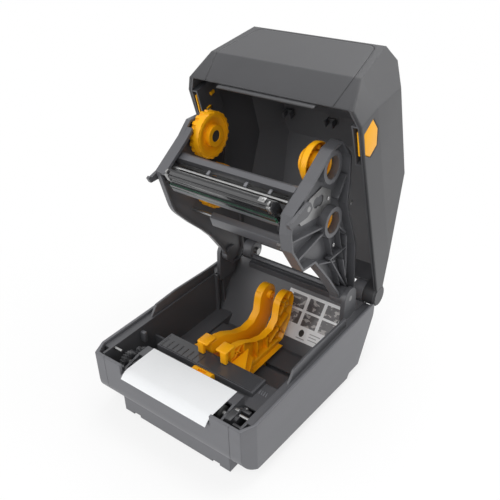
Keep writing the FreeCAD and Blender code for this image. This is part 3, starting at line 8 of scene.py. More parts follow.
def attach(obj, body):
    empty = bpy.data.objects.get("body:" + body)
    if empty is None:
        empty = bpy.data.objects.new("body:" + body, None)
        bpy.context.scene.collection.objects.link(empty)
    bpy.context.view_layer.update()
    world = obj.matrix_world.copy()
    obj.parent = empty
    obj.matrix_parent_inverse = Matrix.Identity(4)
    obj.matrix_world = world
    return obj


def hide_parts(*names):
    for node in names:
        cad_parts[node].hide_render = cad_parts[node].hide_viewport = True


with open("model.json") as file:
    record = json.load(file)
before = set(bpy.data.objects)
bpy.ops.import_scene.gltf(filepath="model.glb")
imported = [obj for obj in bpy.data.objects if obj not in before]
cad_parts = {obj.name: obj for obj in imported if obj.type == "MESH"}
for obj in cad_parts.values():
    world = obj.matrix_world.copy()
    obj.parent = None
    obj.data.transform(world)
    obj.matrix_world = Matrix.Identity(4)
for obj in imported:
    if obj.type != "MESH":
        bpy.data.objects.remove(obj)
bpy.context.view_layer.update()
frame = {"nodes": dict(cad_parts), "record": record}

MM = 0.001
# How far the frame's origin lies behind the front face, in millimetres
SETBACK = 155.73

# Camera at the photograph's place, for a square picture: millimetres from the front face, degrees and pixels
CAMERA_PLACE = (341.83, -301.49, 502.52)
CAMERA_AZIMUTH, CAMERA_ELEVATION, CAMERA_ROLL = 37.72, 31.72, -1.65
FOCAL_PIXELS, PICTURE_PIXELS = 649.36, 500
FILM_WIDTH = 36.0


def stand_camera():
    azimuth, elevation, roll = (math.radians(a) for a in (CAMERA_AZIMUTH, CAMERA_ELEVATION, CAMERA_ROLL))
    level = math.cos(elevation)
    back = Vector((math.sin(azimuth) * level, -math.cos(azimuth) * level, math.sin(elevation)))
    right = Vector((0, 0, 1)).cross(back).normalized()
    up = back.cross(right)
    side = math.cos(roll) * right + math.sin(roll) * up
    top = -math.sin(roll) * right + math.cos(roll) * up
    turn = Matrix((side, top, back)).transposed().to_4x4()
    x, y, z = CAMERA_PLACE
    eye = bpy.data.objects.new("photo_camera", bpy.data.cameras.new("photo_camera"))
    bpy.context.scene.collection.objects.link(eye)
    eye.matrix_world = Matrix.Translation(Vector((x, y - SETBACK, z)) * MM) @ turn
    eye.data.sensor_width = FILM_WIDTH
    eye.data.lens = FOCAL_PIXELS / PICTURE_PIXELS * FILM_WIDTH
    eye.data.clip_start = 0.01
    bpy.context.scene.camera = eye


# Finishes
class Flow:
    """A value inside a material: sums on it add the nodes they need."""

    def __init__(self, tree, socket):
        self.tree = tree
        self.socket = socket

    def node(self, kind, settings=None, output=0, **inputs):
        """Any node: settings first, then sockets by name (underscores for spaces) or by number as i0, i1."""
        made = self.tree.nodes.new(kind)
        for key, value in (settings or {}).items():
            setattr(made, key, value)
        for key, value in inputs.items():
            numbered = key[0] == "i" and key[1:].isdigit()
            port = made.inputs[int(key[1:]) if numbered else key.replace("_", " ")]
            if isinstance(value, Flow):
                self.tree.links.new(value.socket, port)
            else:
                port.default_value = value
        return Flow(self.tree, made.outputs[output])

    def math(self, operation, a, b):
        return self.node("ShaderNodeMath", {"operation": operation}, i0=a, i1=b)

    def __add__(self, other):
        return self.math("ADD", self, other)

    __radd__ = __add__

    def __sub__(self, other):
        return self.math("SUBTRACT", self, other)

    def __rsub__(self, other):
        return self.math("SUBTRACT", other, self)

    def __mul__(self, other):
        return self.math("MULTIPLY", self, other)

    __rmul__ = __mul__

    def __gt__(self, other):
        return self.math("GREATER_THAN", self, other)

    def __lt__(self, other):
        return self.math("LESS_THAN", self, other)

    def most(self, other):
        return self.math("MAXIMUM", self, other)

    def least(self, other):
        return self.math("MINIMUM", self, other)

    def mix(self, low, high):
        """From one colour to another by this value."""
        return self.node("ShaderNodeMix", {"data_type": "RGBA"}, output=2, i0=self, i6=low, i7=high)

    def stretched(self, scale):
        return self.node("ShaderNodeMapping", Vector=self, Scale=scale)

    def noise(self, scale, detail):
        return self.node("ShaderNodeTexNoise", Vector=self, Scale=scale, Detail=detail)

    def soft_edge(self, radius):
        """Surface direction that turns smoothly over edges, for a radius in millimetres."""
        return self.node("ShaderNodeBevel", {"samples": 6}, Radius=radius * MM)

    def bump(self, strength, depth, **inputs):
        """Relief of a height, for a depth in millimetres."""
        return self.node("ShaderNodeBump", Strength=strength, Distance=depth * MM, **inputs)

    def axes(self):
        parts = self.node("ShaderNodeSeparateXYZ", Vector=self).socket.node
        return [Flow(self.tree, socket) for socket in parts.outputs]


def grey(level):
    return (level, level, level, 1.0)


def cool_grey(level):
    """The faintly blue grey of all the mouldings."""
    return (level * 0.97, level * 0.98, level * 1.06, 1.0)


def moulding(level, rough, grain, edge=0.8):
    """Injection-moulded plastic: spark-eroded grain, faint flow marks and handling sheen."""
    def paint(place):
        clouds = place.noise(9.0, 4.0)
        flow = place.stretched((14, 5, 30)).noise(2.0, 3.0)
        fine = place.noise(2600.0, 2.0)
        tone = clouds * 0.6 + flow * 0.4
        colour = tone.mix(cool_grey(level * 0.82), cool_grey(level * 1.18))
        speck = (fine > 0.66) * 0.12
        colour = speck.mix(colour, cool_grey(level * 1.9))
        relief = place.bump(grain, 0.12, Height=fine, Normal=place.soft_edge(edge))
        return {"Base_Color": colour, "Roughness": clouds * 0.16 + (rough - 0.08), "Normal": relief}
    return paint


def yellow_moulding(place):
    clouds = place.noise(30.0, 3.0)
    fine = place.noise(1500.0, 2.0)
    colour = clouds.mix((1.0, 0.41, 0.003, 1.0), (1.0, 0.49, 0.006, 1.0))
    relief = place.bump(0.05, 0.1, Height=fine, Normal=place.soft_edge(0.6))
    return {"Base_Color": colour, "Roughness": clouds * 0.12 + 0.34, "Normal": relief,
            "Specular_IOR_Level": 0.35}


def drawn_steel(place):
    level = 0.34
    streak = place.stretched((30, 2200, 2200)).noise(1.0, 3.0)
    clouds = place.noise(40.0, 3.0)
    colour = streak.mix(grey(level * 0.8), grey(level * 1.15))
    relief = place.bump(0.08, 0.1, Height=streak)
    return {"Base_Color": colour, "Metallic": 1.0, "Roughness": clouds * 0.15 + 0.3, "Normal": relief}


def soft_rubber(place):
    fine = place.noise(1200.0, 3.0)
    colour = fine.mix(grey(0.012), grey(0.03))
    relief = place.bump(0.2, 0.2, Height=fine)
    return {"Base_Color": colour, "Roughness": fine * 0.15 + 0.6, "Normal": relief}


def coated_paper(place):
    fibre = place.stretched((500, 900, 500)).noise(1.0, 4.0)
    clouds = place.noise(25.0, 2.0)
    colour = (fibre * 0.5 + clouds * 0.5).mix((0.77, 0.785, 0.8, 1.0), (0.86, 0.87, 0.88, 1.0))
    relief = place.bump(0.06, 0.1, Height=fibre)
    return {"Base_Color": colour, "Roughness": fibre * 0.1 + 0.42, "Normal": relief}


def circuit_board(place):
    tracks = place.node("ShaderNodeTexWave", {"bands_direction": "X"}, Vector=place, Scale=120.0,
                        Distortion=3.0)
    mask = (place.noise(300.0, 1.0) > 0.52) * 0.6
    colour = (mask * tracks).mix((0.012, 0.07, 0.04, 1.0), (0.05, 0.2, 0.1, 1.0))
    return {"Base_Color": colour, "Roughness": mask * 0.1 + 0.35, "Coat_Weight": 0.3}


def cast_metal(place):
    fine = place.noise(700.0, 3.0)
    clouds = place.noise(20.0, 3.0)
    colour = (fine * 0.4 + clouds * 0.6).mix(grey(0.24), grey(0.4))
    relief = place.bump(0.15, 0.2, Height=fine)
    return {"Base_Color": colour, "Metallic": 1.0, "Roughness": clouds * 0.2 + 0.3, "Normal": relief}


# Layout of the instruction sticker: spans along x and z, in millimetres
PANEL_COLUMNS = ((2, 21), (25, 44), (48, 67))
PANEL_ROWS = ((48, 59.5), (34.5, 46))
DOT_X, DOT_Z, DOT_RADIUS = 30, 28.5, 3.2
BARS = ((25, 36, 23.4, 24.2), (40, 54, 30.2, 31), (40, 50, 27.6, 28.4), (40, 52, 25, 25.8))


def joined(masks):
    """One mask that covers several."""
    whole = masks[0]
    for mask in masks[1:]:
        whole = whole.most(mask)
    return whole


def pictured_sheet(place):
    """A white sheet with plain dark panels, one round mark and a few grey bars."""
    x, _, z = place.axes()

    def box(left, right, low, high):
        return (x > left * MM) * (x < right * MM) * (z > low * MM) * (z < high * MM)

    panels = joined([box(*column, *row) for column in PANEL_COLUMNS for row in PANEL_ROWS])
    aside = x - DOT_X * MM
    above = z - DOT_Z * MM
    dot = aside * aside + above * above < (DOT_RADIUS * MM) ** 2
    bars = joined([box(*bar) for bar in BARS])
    shapes = place.stretched((90, 90, 150)).noise(1.6, 3.0)
    shade = shapes.mix(grey(0.012), (0.17, 0.16, 0.17, 1.0))
    light = (shapes > 0.56) * 0.75
    shade = light.mix(shade, (0.5, 0.48, 0.47, 1.0))
    paper = place.noise(60.0, 3.0).mix((0.74, 0.75, 0.77, 1.0), (0.84, 0.85, 0.86, 1.0))
    colour = panels.mix(paper, shade)
    colour = (bars * 0.7).mix(colour, grey(0.12))
    colour = dot.mix(colour, grey(0.012))
    return {"Base_Color": colour, "Roughness": shapes * 0.1 + 0.25, "Coat_Weight": 0.2}


PAINTS = {
    "housing_grey": moulding(0.142, 0.46, 0.18, edge=2.0),
    "lid_grey": moulding(0.048, 0.44, 0.18, edge=3.0),
    "inner_black": moulding(0.085, 0.4, 0.12),
    "carriage_grey": moulding(0.1, 0.36, 0.1),
    "gear_black": moulding(0.045, 0.35, 0.08),
    "key_grey": moulding(0.2, 0.5, 0.1),
    "scale_grey": moulding(0.06, 0.12, 0.01),
    "head_dark": moulding(0.022, 0.16, 0.03),
    "signal_yellow": yellow_moulding,
    "steel": drawn_steel,
    "cast_metal": cast_metal,
    "rubber_black": soft_rubber,
    "label_white": coated_paper,
    "board_green": circuit_board,
    "pictured_sheet": pictured_sheet,
}
# Solids whose finish isn't their slot's own
OWN_COATS = {
    "instruction_sticker": "pictured_sheet",
    "carriage_plate_left": "carriage_grey",
    "carriage_plate_right": "carriage_grey",
    "carriage_crossbar": "carriage_grey",
}
FINISHES = {}


def finish(name):
    """A named finish, made once: its painter takes object coordinates and returns the shader's values."""
    if name in FINISHES:
        return FINISHES[name]
    material = bpy.data.materials.new(name)
    material.use_nodes = True
    tree = material.node_tree
    shader = tree.nodes["Principled BSDF"]
    place = Flow(tree, tree.nodes.new("ShaderNodeTexCoord").outputs["Object"])
    for socket, value in PAINTS[name](place).items():
        port = shader.inputs[socket.replace("_", " ")]
        if isinstance(value, Flow):
            tree.links.new(value.socket, port)
        else:
            port.default_value = value
    FINISHES[name] = material
    return material


def dress_solids():
    """Give each solid the finish of its slot, or its own."""
    for entry in frame["record"]["subparts"]:
        thing = frame["nodes"][entry["node"]]
        coat = finish(OWN_COATS.get(entry["node"], entry["material_slot"]))
        if not thing.data.materials:
            thing.data.materials.append(coat)
        for slot in thing.material_slots:
            slot.material = coat


# Making pieces: sizes in millimetres with the lid and the carriage closed, as the solids are drawn.
# A swinging body's pivot, as y and z, and the angle by which it stands open
SWINGS = {"lid": (243.45, 79.63, 73.17), "carriage": (200.0, 97.24, 62.24)}
CARRIAGE_RIDERS = ("head", "takeup_left", "takeup_right", "supply_left", "supply_right")
SHARP_ANGLE = math.radians(32)


def standing(body):
    """From the closed drawing in millimetres to the opened place in metres."""
    place = Matrix.Diagonal((MM, MM, MM, 1)) @ Matrix.Translation((0, -SETBACK, 0))
    carrier = "carriage" if body in CARRIAGE_RIDERS else body
    if carrier in SWINGS:
        y, z, angle = SWINGS[carrier]
        hinge = Matrix.Translation((0, y, z))
        place = place @ hinge @ Matrix.Rotation(-math.radians(angle), 4, "X") @ hinge.inverted()
    return place


def set_up(form, body):
    """Close a drawn form and put it where its body stands."""
    bmesh.ops.remove_doubles(form, verts=form.verts, dist=0.0005)
    bmesh.ops.recalc_face_normals(form, faces=form.faces)
    bmesh.ops.transform(form, matrix=standing(body), verts=form.verts)


def ride_piece(name, form, body, slot, coat=None):
    """Make a placed form a piece that rides on a body, in its slot's finish or another."""
    data = bpy.data.meshes.new(name)
    form.to_mesh(data)
    form.free()
    data.shade_smooth()
    data.set_sharp_from_angle(angle=SHARP_ANGLE)
    thing = bpy.data.objects.new(name, data)
    bpy.context.scene.collection.objects.link(thing)
    data.materials.append(finish(coat or slot))
    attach(thing, body)
    return thing


def set_piece(name, form, body, slot, coat=None):
    set_up(form, body)
    return ride_piece(name, form, body, slot, coat)


def copied(node):
    """A merged copy of a solid's mesh, in its place."""
    form = bmesh.new()
    form.from_mesh(frame["nodes"][node].data)
    bmesh.ops.remove_doubles(form, verts=form.verts, dist=1e-6)
    return form


def pour(form, spare):
    """Add a second form to a form."""
    data = bpy.data.meshes.new("spare")
    spare.to_mesh(data)
    spare.free()
    form.from_mesh(data)
    bpy.data.meshes.remove(data)


def bevel(form, edges, width, steps=2):
    bmesh.ops.bevel(form, geom=edges, offset=width, offset_type="OFFSET", affect="EDGES", segments=steps,
                    profile=0.5, material=-1, clamp_overlap=True)


def rounded(form, verts, width):
    """Round every edge of the part of a form that these vertices make."""
    bevel(form, list(dict.fromkeys(edge for vert in verts for edge in vert.link_edges)), width)


def block(form, low, high, edge=0.4, turn=None):
    """A rounded block between two corners, turned about its own middle if asked."""
    low, high = Vector(low), Vector(high)
    spin = Matrix.Rotation(math.radians(turn[1]), 4, turn[0]) if turn else Matrix.Identity(4)
    place = Matrix.Translation((low + high) / 2) @ spin @ Matrix.Diagonal((*(high - low), 1))
    made = bmesh.ops.create_cube(form, size=1.0, matrix=place)
    rounded(form, made["verts"], edge)


def ribs(form, rows, x, half, edge):
    """Thin ribs between two places along x: a row has the middle's y and z, the length and the tilt."""
    for y, z, length, tilt in rows:
        block(form, (x[0], y - length / 2, z - half), (x[1], y + length / 2, z + half), edge, ("X", tilt))


def turned(form, outline, centre=(0, 0), steps=28):
    """A round piece along x: outline gives (x, radius) and closes on the axis or on itself."""
    ring = [form.verts.new((x, centre[0], centre[1] + radius)) for x, radius in outline]
    edges = [form.edges.new(pair) for pair in zip(ring, ring[1:])]
    bmesh.ops.spin(form, geom=ring + edges, cent=(0, *centre), axis=(1, 0, 0), angle=math.tau, steps=steps,
                   use_merge=True)
    bmesh.ops.remove_doubles(form, verts=form.verts, dist=0.0005)


def slab(form, corners, lift):
    """A flat outline drawn out along a vector; returns its far face."""
    face = form.faces.new([form.verts.new(corner) for corner in corners])
    grown = bmesh.ops.extrude_face_region(form, geom=[face])["geom"]
    moved = [part for part in grown if isinstance(part, bmesh.types.BMVert)]
    bmesh.ops.translate(form, verts=moved, vec=lift)
    return next(part for part in grown if isinstance(part, bmesh.types.BMFace))


def plate(form, outline, x):
    """A plate from a (y, z) outline between two places along x; returns its far face."""
    return slab(form, [(x[0], y, z) for y, z in outline], (x[1] - x[0], 0, 0))


def arc(centre, radius, first, last, count):
    """Points round a corner, in degrees from the y axis towards z."""
    steps = [math.radians(first + (last - first) * i / count) for i in range(count + 1)]
    return [(centre[0] + radius * math.cos(a), centre[1] + radius * math.sin(a)) for a in steps]


def screw(form, at, axis, radius, high):
    """A domed screw head with a cross recess, standing on a face along an axis given as a vector."""
    spare = bmesh.new()
    floor = high * 0.45
    turned(spare, [(-0.6, radius), (high * 0.5, radius), (high * 0.9, radius * 0.8), (high, radius * 0.45),
                   (floor, radius * 0.3), (floor, 0)], steps=20)
    for tilt in (20, 110):
        block(spare, (high * 0.3, -radius * 0.55, -0.28), (high + 0.1, radius * 0.55, 0.28), 0.1, ("X", tilt))
    turn = Vector((1, 0, 0)).rotation_difference(Vector(axis)).to_matrix().to_4x4()
    bmesh.ops.transform(spare, matrix=Matrix.Translation(at) @ turn, verts=spare.verts)
    pour(form, spare)


def wire(form, points, radius):
    """A round wire along a smooth line with these control points."""
    curve = bpy.data.curves.new("wire", "CURVE")
    curve.dimensions = "3D"
    curve.resolution_u = 8
    curve.bevel_depth = radius
    curve.bevel_resolution = 2
    curve.use_fill_caps = True
    line = curve.splines.new("NURBS")
    line.points.add(len(points) - 1)
    for place, point in zip(line.points, points):
        place.co = (*point, 1)
    line.order_u = 3
    line.use_endpoint_u = True
    thing = bpy.data.objects.new("wire", curve)
    data = bpy.data.meshes.new_from_object(thing)
    form.from_mesh(data)
    bpy.data.objects.remove(thing)
    bpy.data.meshes.remove(data)
    bpy.data.curves.remove(curve)


# Roll guides: the racks stay the solids' own, the arms, wings and fingers are drawn in full
GUIDE_SIDES = (8, 17.5)
GUIDE_RIM, GUIDE_POCKET = 2.2, 6.5
GUIDE_HEAD, GUIDE_PEG = (182, 72), (184, 74)
RACK_TOP = 27.5
RIB_SPAN, RIB_HALF = (10.6, 16.7), 0.65
GUIDE_RIBS = (
    (174.5, 78.5, 10, -40), (189.6, 78.2, 9, 40), (174.6, 65.8, 10, 40), (189.4, 65.6, 10, -42),
    (170, 44, 26, -54), (169, 46, 40, 25), (94, 63.5, 15, 38), (93.7, 63.7, 15, -38),
    (104.5, 60, 13, 88), (128, 41, 22, 88), (146, 38, 20, 88),
)
# Wings at two heights, as their low and high z and their (x, y) outline
GUIDE_WINGS = (
    (54.6, 57.2, ((16.6, 82.6), (34.0, 82.8), (17.0, 112.0))),
    (42.2, 45.0, ((9.4, 83.4), (33.0, 83.6), (33.4, 90.0), (22.0, 112.0), (9.6, 118.0))),
)
WING_FRONT_Y, WING_FRONT_DEPTH = 81.7, 2.3
WING_FRONT = ((9.2, 42.6), (33.6, 42.4), (34.0, 56.4), (9.0, 56.6))
# Post, cap and toe of the front finger
GUIDE_FINGER = (
    ((9.3, 81.4, 64.0), (18.2, 87.3, 77.1)),
    ((5.6, 72.1, 74.7), (18.7, 87.0, 77.8)),
    ((10.9, 71.8, 62.3), (18.5, 75.9, 77.4)),
)


def guide_arm(form):
    """Arm and shoulder as one plate, pocketed from outside, with every corner eased."""
    outline = [(104, 27), (174, 27), (189, 46), *arc(GUIDE_HEAD, 14.5, -14, 170, 14), (164.5, 60),
               (155, 52.5), (141, 51), (124, 57), (107, 67), (95, 71), (82, 71), (82, 57), (98, 50),
               (104, 44)]
    outer = plate(form, outline, GUIDE_SIDES)
    bmesh.ops.inset_region(form, faces=[outer], thickness=GUIDE_RIM, depth=0.0, use_even_offset=True)
    bmesh.ops.translate(form, verts=outer.verts, vec=(-GUIDE_POCKET, 0, 0))
    bmesh.ops.recalc_face_normals(form, faces=form.faces)
    corner = math.radians(40)
    bevel(form, [e for e in form.edges if e.is_manifold and e.calc_face_angle(0) > corner], 0.8)


def guide_form():
    """The right-hand guide above its foot: ribbed arm, peg, foot, wings and front finger."""
    form = bmesh.new()
    guide_arm(form)
    turned(form, [(10.5, 4.6), (16.9, 4.4), (16.9, 2.6), (10.5, 2.6), (10.5, 4.6)], GUIDE_HEAD)
    ribs(form, GUIDE_RIBS, RIB_SPAN, RIB_HALF, 0.25)
    turned(form, [(3.5, 0), (3.5, 2.4), (4.8, 2.6), (4.9, 4.2), (3.6, 4.5), (4.0, 5.0), (9.0, 5.0), (9.0, 0)],
           GUIDE_PEG)
    block(form, (8.1, 104.6, 26.6), (18.4, 164.8, 33.4), 1.0)
    for low, high, outline in GUIDE_WINGS:
        slab(form, [(x, y, low) for x, y in outline], (0, 0, high - low))
    slab(form, [(x, WING_FRONT_Y, z) for x, z in WING_FRONT], (0, WING_FRONT_DEPTH, 0))
    for low, high in GUIDE_FINGER:
        block(form, low, high, 0.8)
    return form


def rack_form(node):
    """What a guide's solid has below the floor of the bay: its foot and rack."""
    form = copied(node)
    everything = form.verts[:] + form.edges[:] + form.faces[:]
    cut = bmesh.ops.bisect_plane(form, geom=everything, plane_co=(0, 0, RACK_TOP * MM), plane_no=(0, 0, 1),
                                 clear_outer=True)
    bmesh.ops.holes_fill(form, edges=[e for e in cut["geom_cut"] if isinstance(e, bmesh.types.BMEdge)])
    return form


def set_guides():
    for side in ("right", "left"):
        form = guide_form()
        if side == "left":
            bmesh.ops.scale(form, vec=(-1, 1, 1), verts=form.verts)
        bmesh.ops.recalc_face_normals(form, faces=form.faces)
        bmesh.ops.transform(form, matrix=standing("base"), verts=form.verts)
        pour(form, rack_form(f"roll_guide_{side}"))
        piece = ride_piece(f"guide_{side}_arm", form, f"guide_{side}", "signal_yellow")
        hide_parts(f"roll_guide_{side}")


# Ribbon hubs: a smooth face ring on the lugged drums, dished flanges on the far side, as (x, radius)
HUBS = {"takeup": (40.5, 141.04), "supply": (95.0, 118.54)}
FACE_RING = [
    (-66.4, 24.1), (-61.6, 24.1), (-60.4, 23.5), (-59.7, 22.2), (-59.6, 20.8), (-60.6, 20.4), (-61.4, 21.6),
    (-66.4, 22.0), (-66.4, 24.1),
]
FLANGE = [
    (47.2, 0), (47.2, 10.5), (48.0, 11.6), (52.0, 12.2), (53.0, 17.0), (56.0, 19.8), (60.0, 20.4),
    (61.6, 20.2), (61.9, 19.4), (61.0, 18.6), (56.4, 17.4), (55.8, 12.4), (56.2, 11.0), (69.6, 10.9),
    (70.6, 10.2), (70.8, 8.8), (70.0, 7.6), (66.5, 7.2), (66.5, 0),
]
FLANGE_KEY_HALF = (7.2, 1.3)
FLANGE_RIBS, FLANGE_RIB_RADIUS, FLANGE_RIB_HALF = 6, 14.6, (2.4, 0.7)


def flange_form(centre):
    form = bmesh.new()
    turned(form, FLANGE, centre, steps=56)
    y, z = centre
    long, thin = FLANGE_KEY_HALF
    block(form, (66.0, y - long, z - thin), (69.6, y + long, z + thin))
    long, thin = FLANGE_RIB_HALF
    for number in range(FLANGE_RIBS):
        turn = number * 360 / FLANGE_RIBS
        y = centre[0] + FLANGE_RIB_RADIUS * math.cos(math.radians(turn))
        z = centre[1] + FLANGE_RIB_RADIUS * math.sin(math.radians(turn))
        block(form, (55.9, y - long, z - thin), (59.2, y + long, z + thin), 0.25, ("X", turn))
    return form


def set_hubs():
    for name, centre in HUBS.items():
        ring = bmesh.new()
        turned(ring, FACE_RING, centre, steps=72)
        set_piece(f"{name}_face_ring", ring, f"{name}_left", "signal_yellow")
        piece = set_piece(f"{name}_flange", flange_form(centre), f"{name}_right", "signal_yellow")
        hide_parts(f"{name}_hub_right")


# Carriage: wiring, tray, printhead trim, webs and screws
LOOM_WIRES = ((0.0, 1.2, 0.0), (0.9, -1.4, 0.9), (-0.8, 0.9, 1.5), (0.4, 1.8, -0.7), (-0.3, -0.9, -1.3))
LOOM_TURNS, LOOM_TURN_START, LOOM_PITCH = 7, 44, 2.2
TIE_PLACES, TIE_WIDTH = (-30, 14, 41), 3.4


def set_wiring():
    """Five loose wires along the crossbar, a coiled end by the right plate and three ties."""
    loom = bmesh.new()
    for shift, wave, level in LOOM_WIRES:
        wire(loom, [(-64, 33, 93.5), (-50, 32.4 + shift, 92.6 + wave),
                    (-38, 32.2 + shift, 91.6 - wave + level), (-24, 32.4 + shift, 92 + wave),
                    (-8, 32.2 - shift, 91.8 + level), (8, 32.4 + shift, 92 - wave),
                    (22, 32.2 + shift, 91.2 + level), (36, 32.2 - shift, 92 + wave),
                    (48, 32.4 + shift, 91 - wave + level), (58, 33, 93), (64, 34, 94)], 0.6)
    for turn in range(LOOM_TURNS):
        x = LOOM_TURN_START + turn * LOOM_PITCH
        wire(loom, [(x, 31.4, 90), (x + 1, 30.6, 93.6), (x + 2, 33.8, 94.4), (x + 2.4, 34, 90.6),
                    (x + LOOM_PITCH, 31.4, 90)], 0.45)
    set_piece("head_wiring", loom, "carriage", "rubber_black")
    ties = bmesh.new()
    for x in TIE_PLACES:
        block(ties, (x, 30.2, 89.4), (x + TIE_WIDTH, 35.2, 95.2), 0.9)
    set_piece("wiring_ties", ties, "carriage", "key_grey")


TRAY_ENDS = (-46, 66)
TRAY_OUTLINE = ((93, 86.5), (93, 78.9), (105, 77.1), (105, 79.0), (95, 80.6), (95, 86.5))
TRAY_RIBS, TRAY_RIB_WIDTH = (-45.4, -20, 5, 30, 55), 1.4
TRAY_RIB_OUTLINE = ((94.6, 86.2), (94.6, 80.2), (104.6, 78.7), (104.6, 79.6))


def set_tray():
    """The ribbon tray, short enough to show the lower hub, and the sprung clip under it."""
    clip = bmesh.new()
    block(clip, (40, 91, 75.7), (58, 97, 77.1), 0.3)
    block(clip, (40.2, 91.1, 74.2), (57.8, 92.3, 76.8), 0.3)
    block(clip, (43, 95.6, 73.4), (45.2, 97.6, 78.9))
    block(clip, (53, 94.4, 73.8), (55.2, 96.4, 78.9))
    set_piece("tray_clip", clip, "carriage", "steel")
    tray = bmesh.new()
    plate(tray, TRAY_OUTLINE, TRAY_ENDS)
    rounded(tray, tray.verts, 0.4)
    for x in TRAY_RIBS:
        plate(tray, TRAY_RIB_OUTLINE, (x, x + TRAY_RIB_WIDTH))
    piece = set_piece("tray_plate", tray, "carriage", "inner_black", "carriage_grey")
    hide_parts("ribbon_tray")


SPRING_PLACES = (-60.5, 56.5)
STRIP_HALF, GUARD_HALF = 57, 62.5


def set_head_parts():
    """Leaf springs at the ends of the printhead, its glazed heating strip and the guard behind it."""
    springs = bmesh.new()
    for x in SPRING_PLACES:
        block(springs, (x, 18.5, 68.9), (x + 4, 27, 70.9))
        block(springs, (x + 1, 15.6, 70.6), (x + 3, 19, 74.5))
    block(springs, (47, 15.9, 71.6), (54, 17.2, 76.8))
    block(springs, (49, 14.9, 73.2), (52, 16.4, 75.4), 0.3)
    set_piece("head_springs", springs, "head", "steel")
    strip = bmesh.new()
    block(strip, (-STRIP_HALF, 18.8, 69.5), (STRIP_HALF, 26.4, 70.8), 0.5)
    bead = STRIP_HALF - 1
    turned(strip, [(-bead, 0), (-bead, 0.9), (bead, 0.9), (bead, 0)], (21.5, 69.6), steps=12)
    block(strip, (-61, 33.4, 68.7), (61, 37.8, 69.3), 0.2)
    set_piece("heating_strip", strip, "head", "head_dark")
    guard = bmesh.new()
    block(guard, (-GUARD_HALF, 39.3, 69.2), (GUARD_HALF, 44.4, 71.4), 0.5)
    block(guard, (-GUARD_HALF, 42.6, 70.8), (GUARD_HALF, 44.6, 75.0), 0.5)
    set_piece("ribbon_guard", guard, "head", "key_grey", "carriage_grey")


# Webs in the right plate's pocket and screws on its face
WEBS = ((166, 103, 62, 6), (160, 121, 54, -24), (176, 112, 40, -10), (140, 112, 30, 62), (118, 128, 26, 20))
WEB_SPAN, WEB_HALF = (69.5, 76.6), 0.9
PLATE_FACE_X = 78.0
PLATE_SCREWS = ((104, 151), (118, 108), (62, 122))


def set_plate_parts():
    webs = bmesh.new()
    ribs(webs, WEBS, WEB_SPAN, WEB_HALF, 0.3)
    set_piece("plate_webs", webs, "carriage", "inner_black", "carriage_grey")
    heads = bmesh.new()
    for y, z in PLATE_SCREWS:
        screw(heads, (PLATE_FACE_X, y, z), (1, 0, 0), 2.0, 0.9)
    set_piece("plate_screws", heads, "carriage", "steel")


# Lid: two clips and a rib on the liner, eased faces on the release buttons
CLIP_PLACES, CLIP_HALF = (-62, -6), 4.6
CAP_EDGE, CAP_STEPS = 1.6, 3


def set_liner_clips():
    clips = bmesh.new()
    for x in CLIP_PLACES:
        for side in (-CLIP_HALF, CLIP_HALF):
            block(clips, (x + side - 1, 103, 176.5), (x + side + 1, 111, 186.7), 0.5)
        block(clips, (x - 5.2, 103.4, 184.4), (x + 5.2, 110.6, 186.4), 0.5)
    block(clips, (-60, 88, 183.4), (60, 89.6, 186.7))
    set_piece("lid_ribs", clips, "lid", "inner_black")


def set_release_caps():
    for side in ("right", "left"):
        cap = copied(f"release_button_{side}")
        bmesh.ops.dissolve_limit(cap, angle_limit=0.01, verts=cap.verts, edges=cap.edges)
        face = max(abs(v.co.x) for v in cap.verts) - 0.1 * MM
        outer = [e for e in cap.edges if all(abs(v.co.x) > face for v in e.verts)]
        bevel(cap, outer, CAP_EDGE * MM, CAP_STEPS)
        piece = ride_piece(f"release_{side}_cap", cap, f"release_{side}", "signal_yellow")
        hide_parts(f"release_button_{side}")


# Base: bearing block and clips at the front right, rollers at the front left, screws, marks and rails
BEARING_BLOCKS = (
    ((63.2, 13, 55.5), (70.5, 30, 66.8), 0.8), ((64.5, 31.5, 55.5), (78, 36, 63), 0.7),
    ((73, 12, 55.6), (84.5, 15, 65), 0.6), ((79.5, 36, 55.6), (85.2, 52, 61.5), 0.8),
)
# Rollers as the y and z of their axle, their left end and their radius
ROLLERS = ((33, 57.0, -78.6, 4.6), (44, 54.6, -78.4, 4.2))
ROLLER_LENGTH, ROLLER_GROOVES, GROOVE_PITCH, GROOVE_DEPTH = 9, 4, 1.8, 0.9
PLINTH_SCREW_X, PLINTH_SCREW_Y, PLINTH_Z = (-56, 56), (44, 160), 2.0
DECK_MARKS, DECK_MARK_X, DECK_MARK_PITCH = 4, 63.5, 2.6
RAIL_INNER, RAIL_WIDTH = 88, 3
RAIL_OUTLINE = ((76, 72.4), (80, 76), (86, 84), (118, 85.5), (184, 82.5), (184, 72.4))


def set_bearing_block():
    bosses = bmesh.new()
    for low, high, edge in BEARING_BLOCKS:
        block(bosses, low, high, edge)
    turned(bosses, [(70, 0), (70, 4.4), (73.4, 4.4), (74, 3.8), (74, 0)], (21.5, 60.9))
    set_piece("bearing_block", bosses, "base", "gear_black")


def set_front_clips():
    metal = bmesh.new()
    block(metal, (66, 25.5, 66.4), (70, 29, 68.0))
    block(metal, (74.5, 25, 60.5), (78.2, 27, 65.6), 0.4, ("X", 20))
    block(metal, (83.0, 40, 61.2), (85.6, 46, 63.6), 0.6)
    screw(metal, (67, 40.5, 56.2), (0, 0, 1), 2.4, 1.4)
    set_piece("front_clips", metal, "base", "steel")


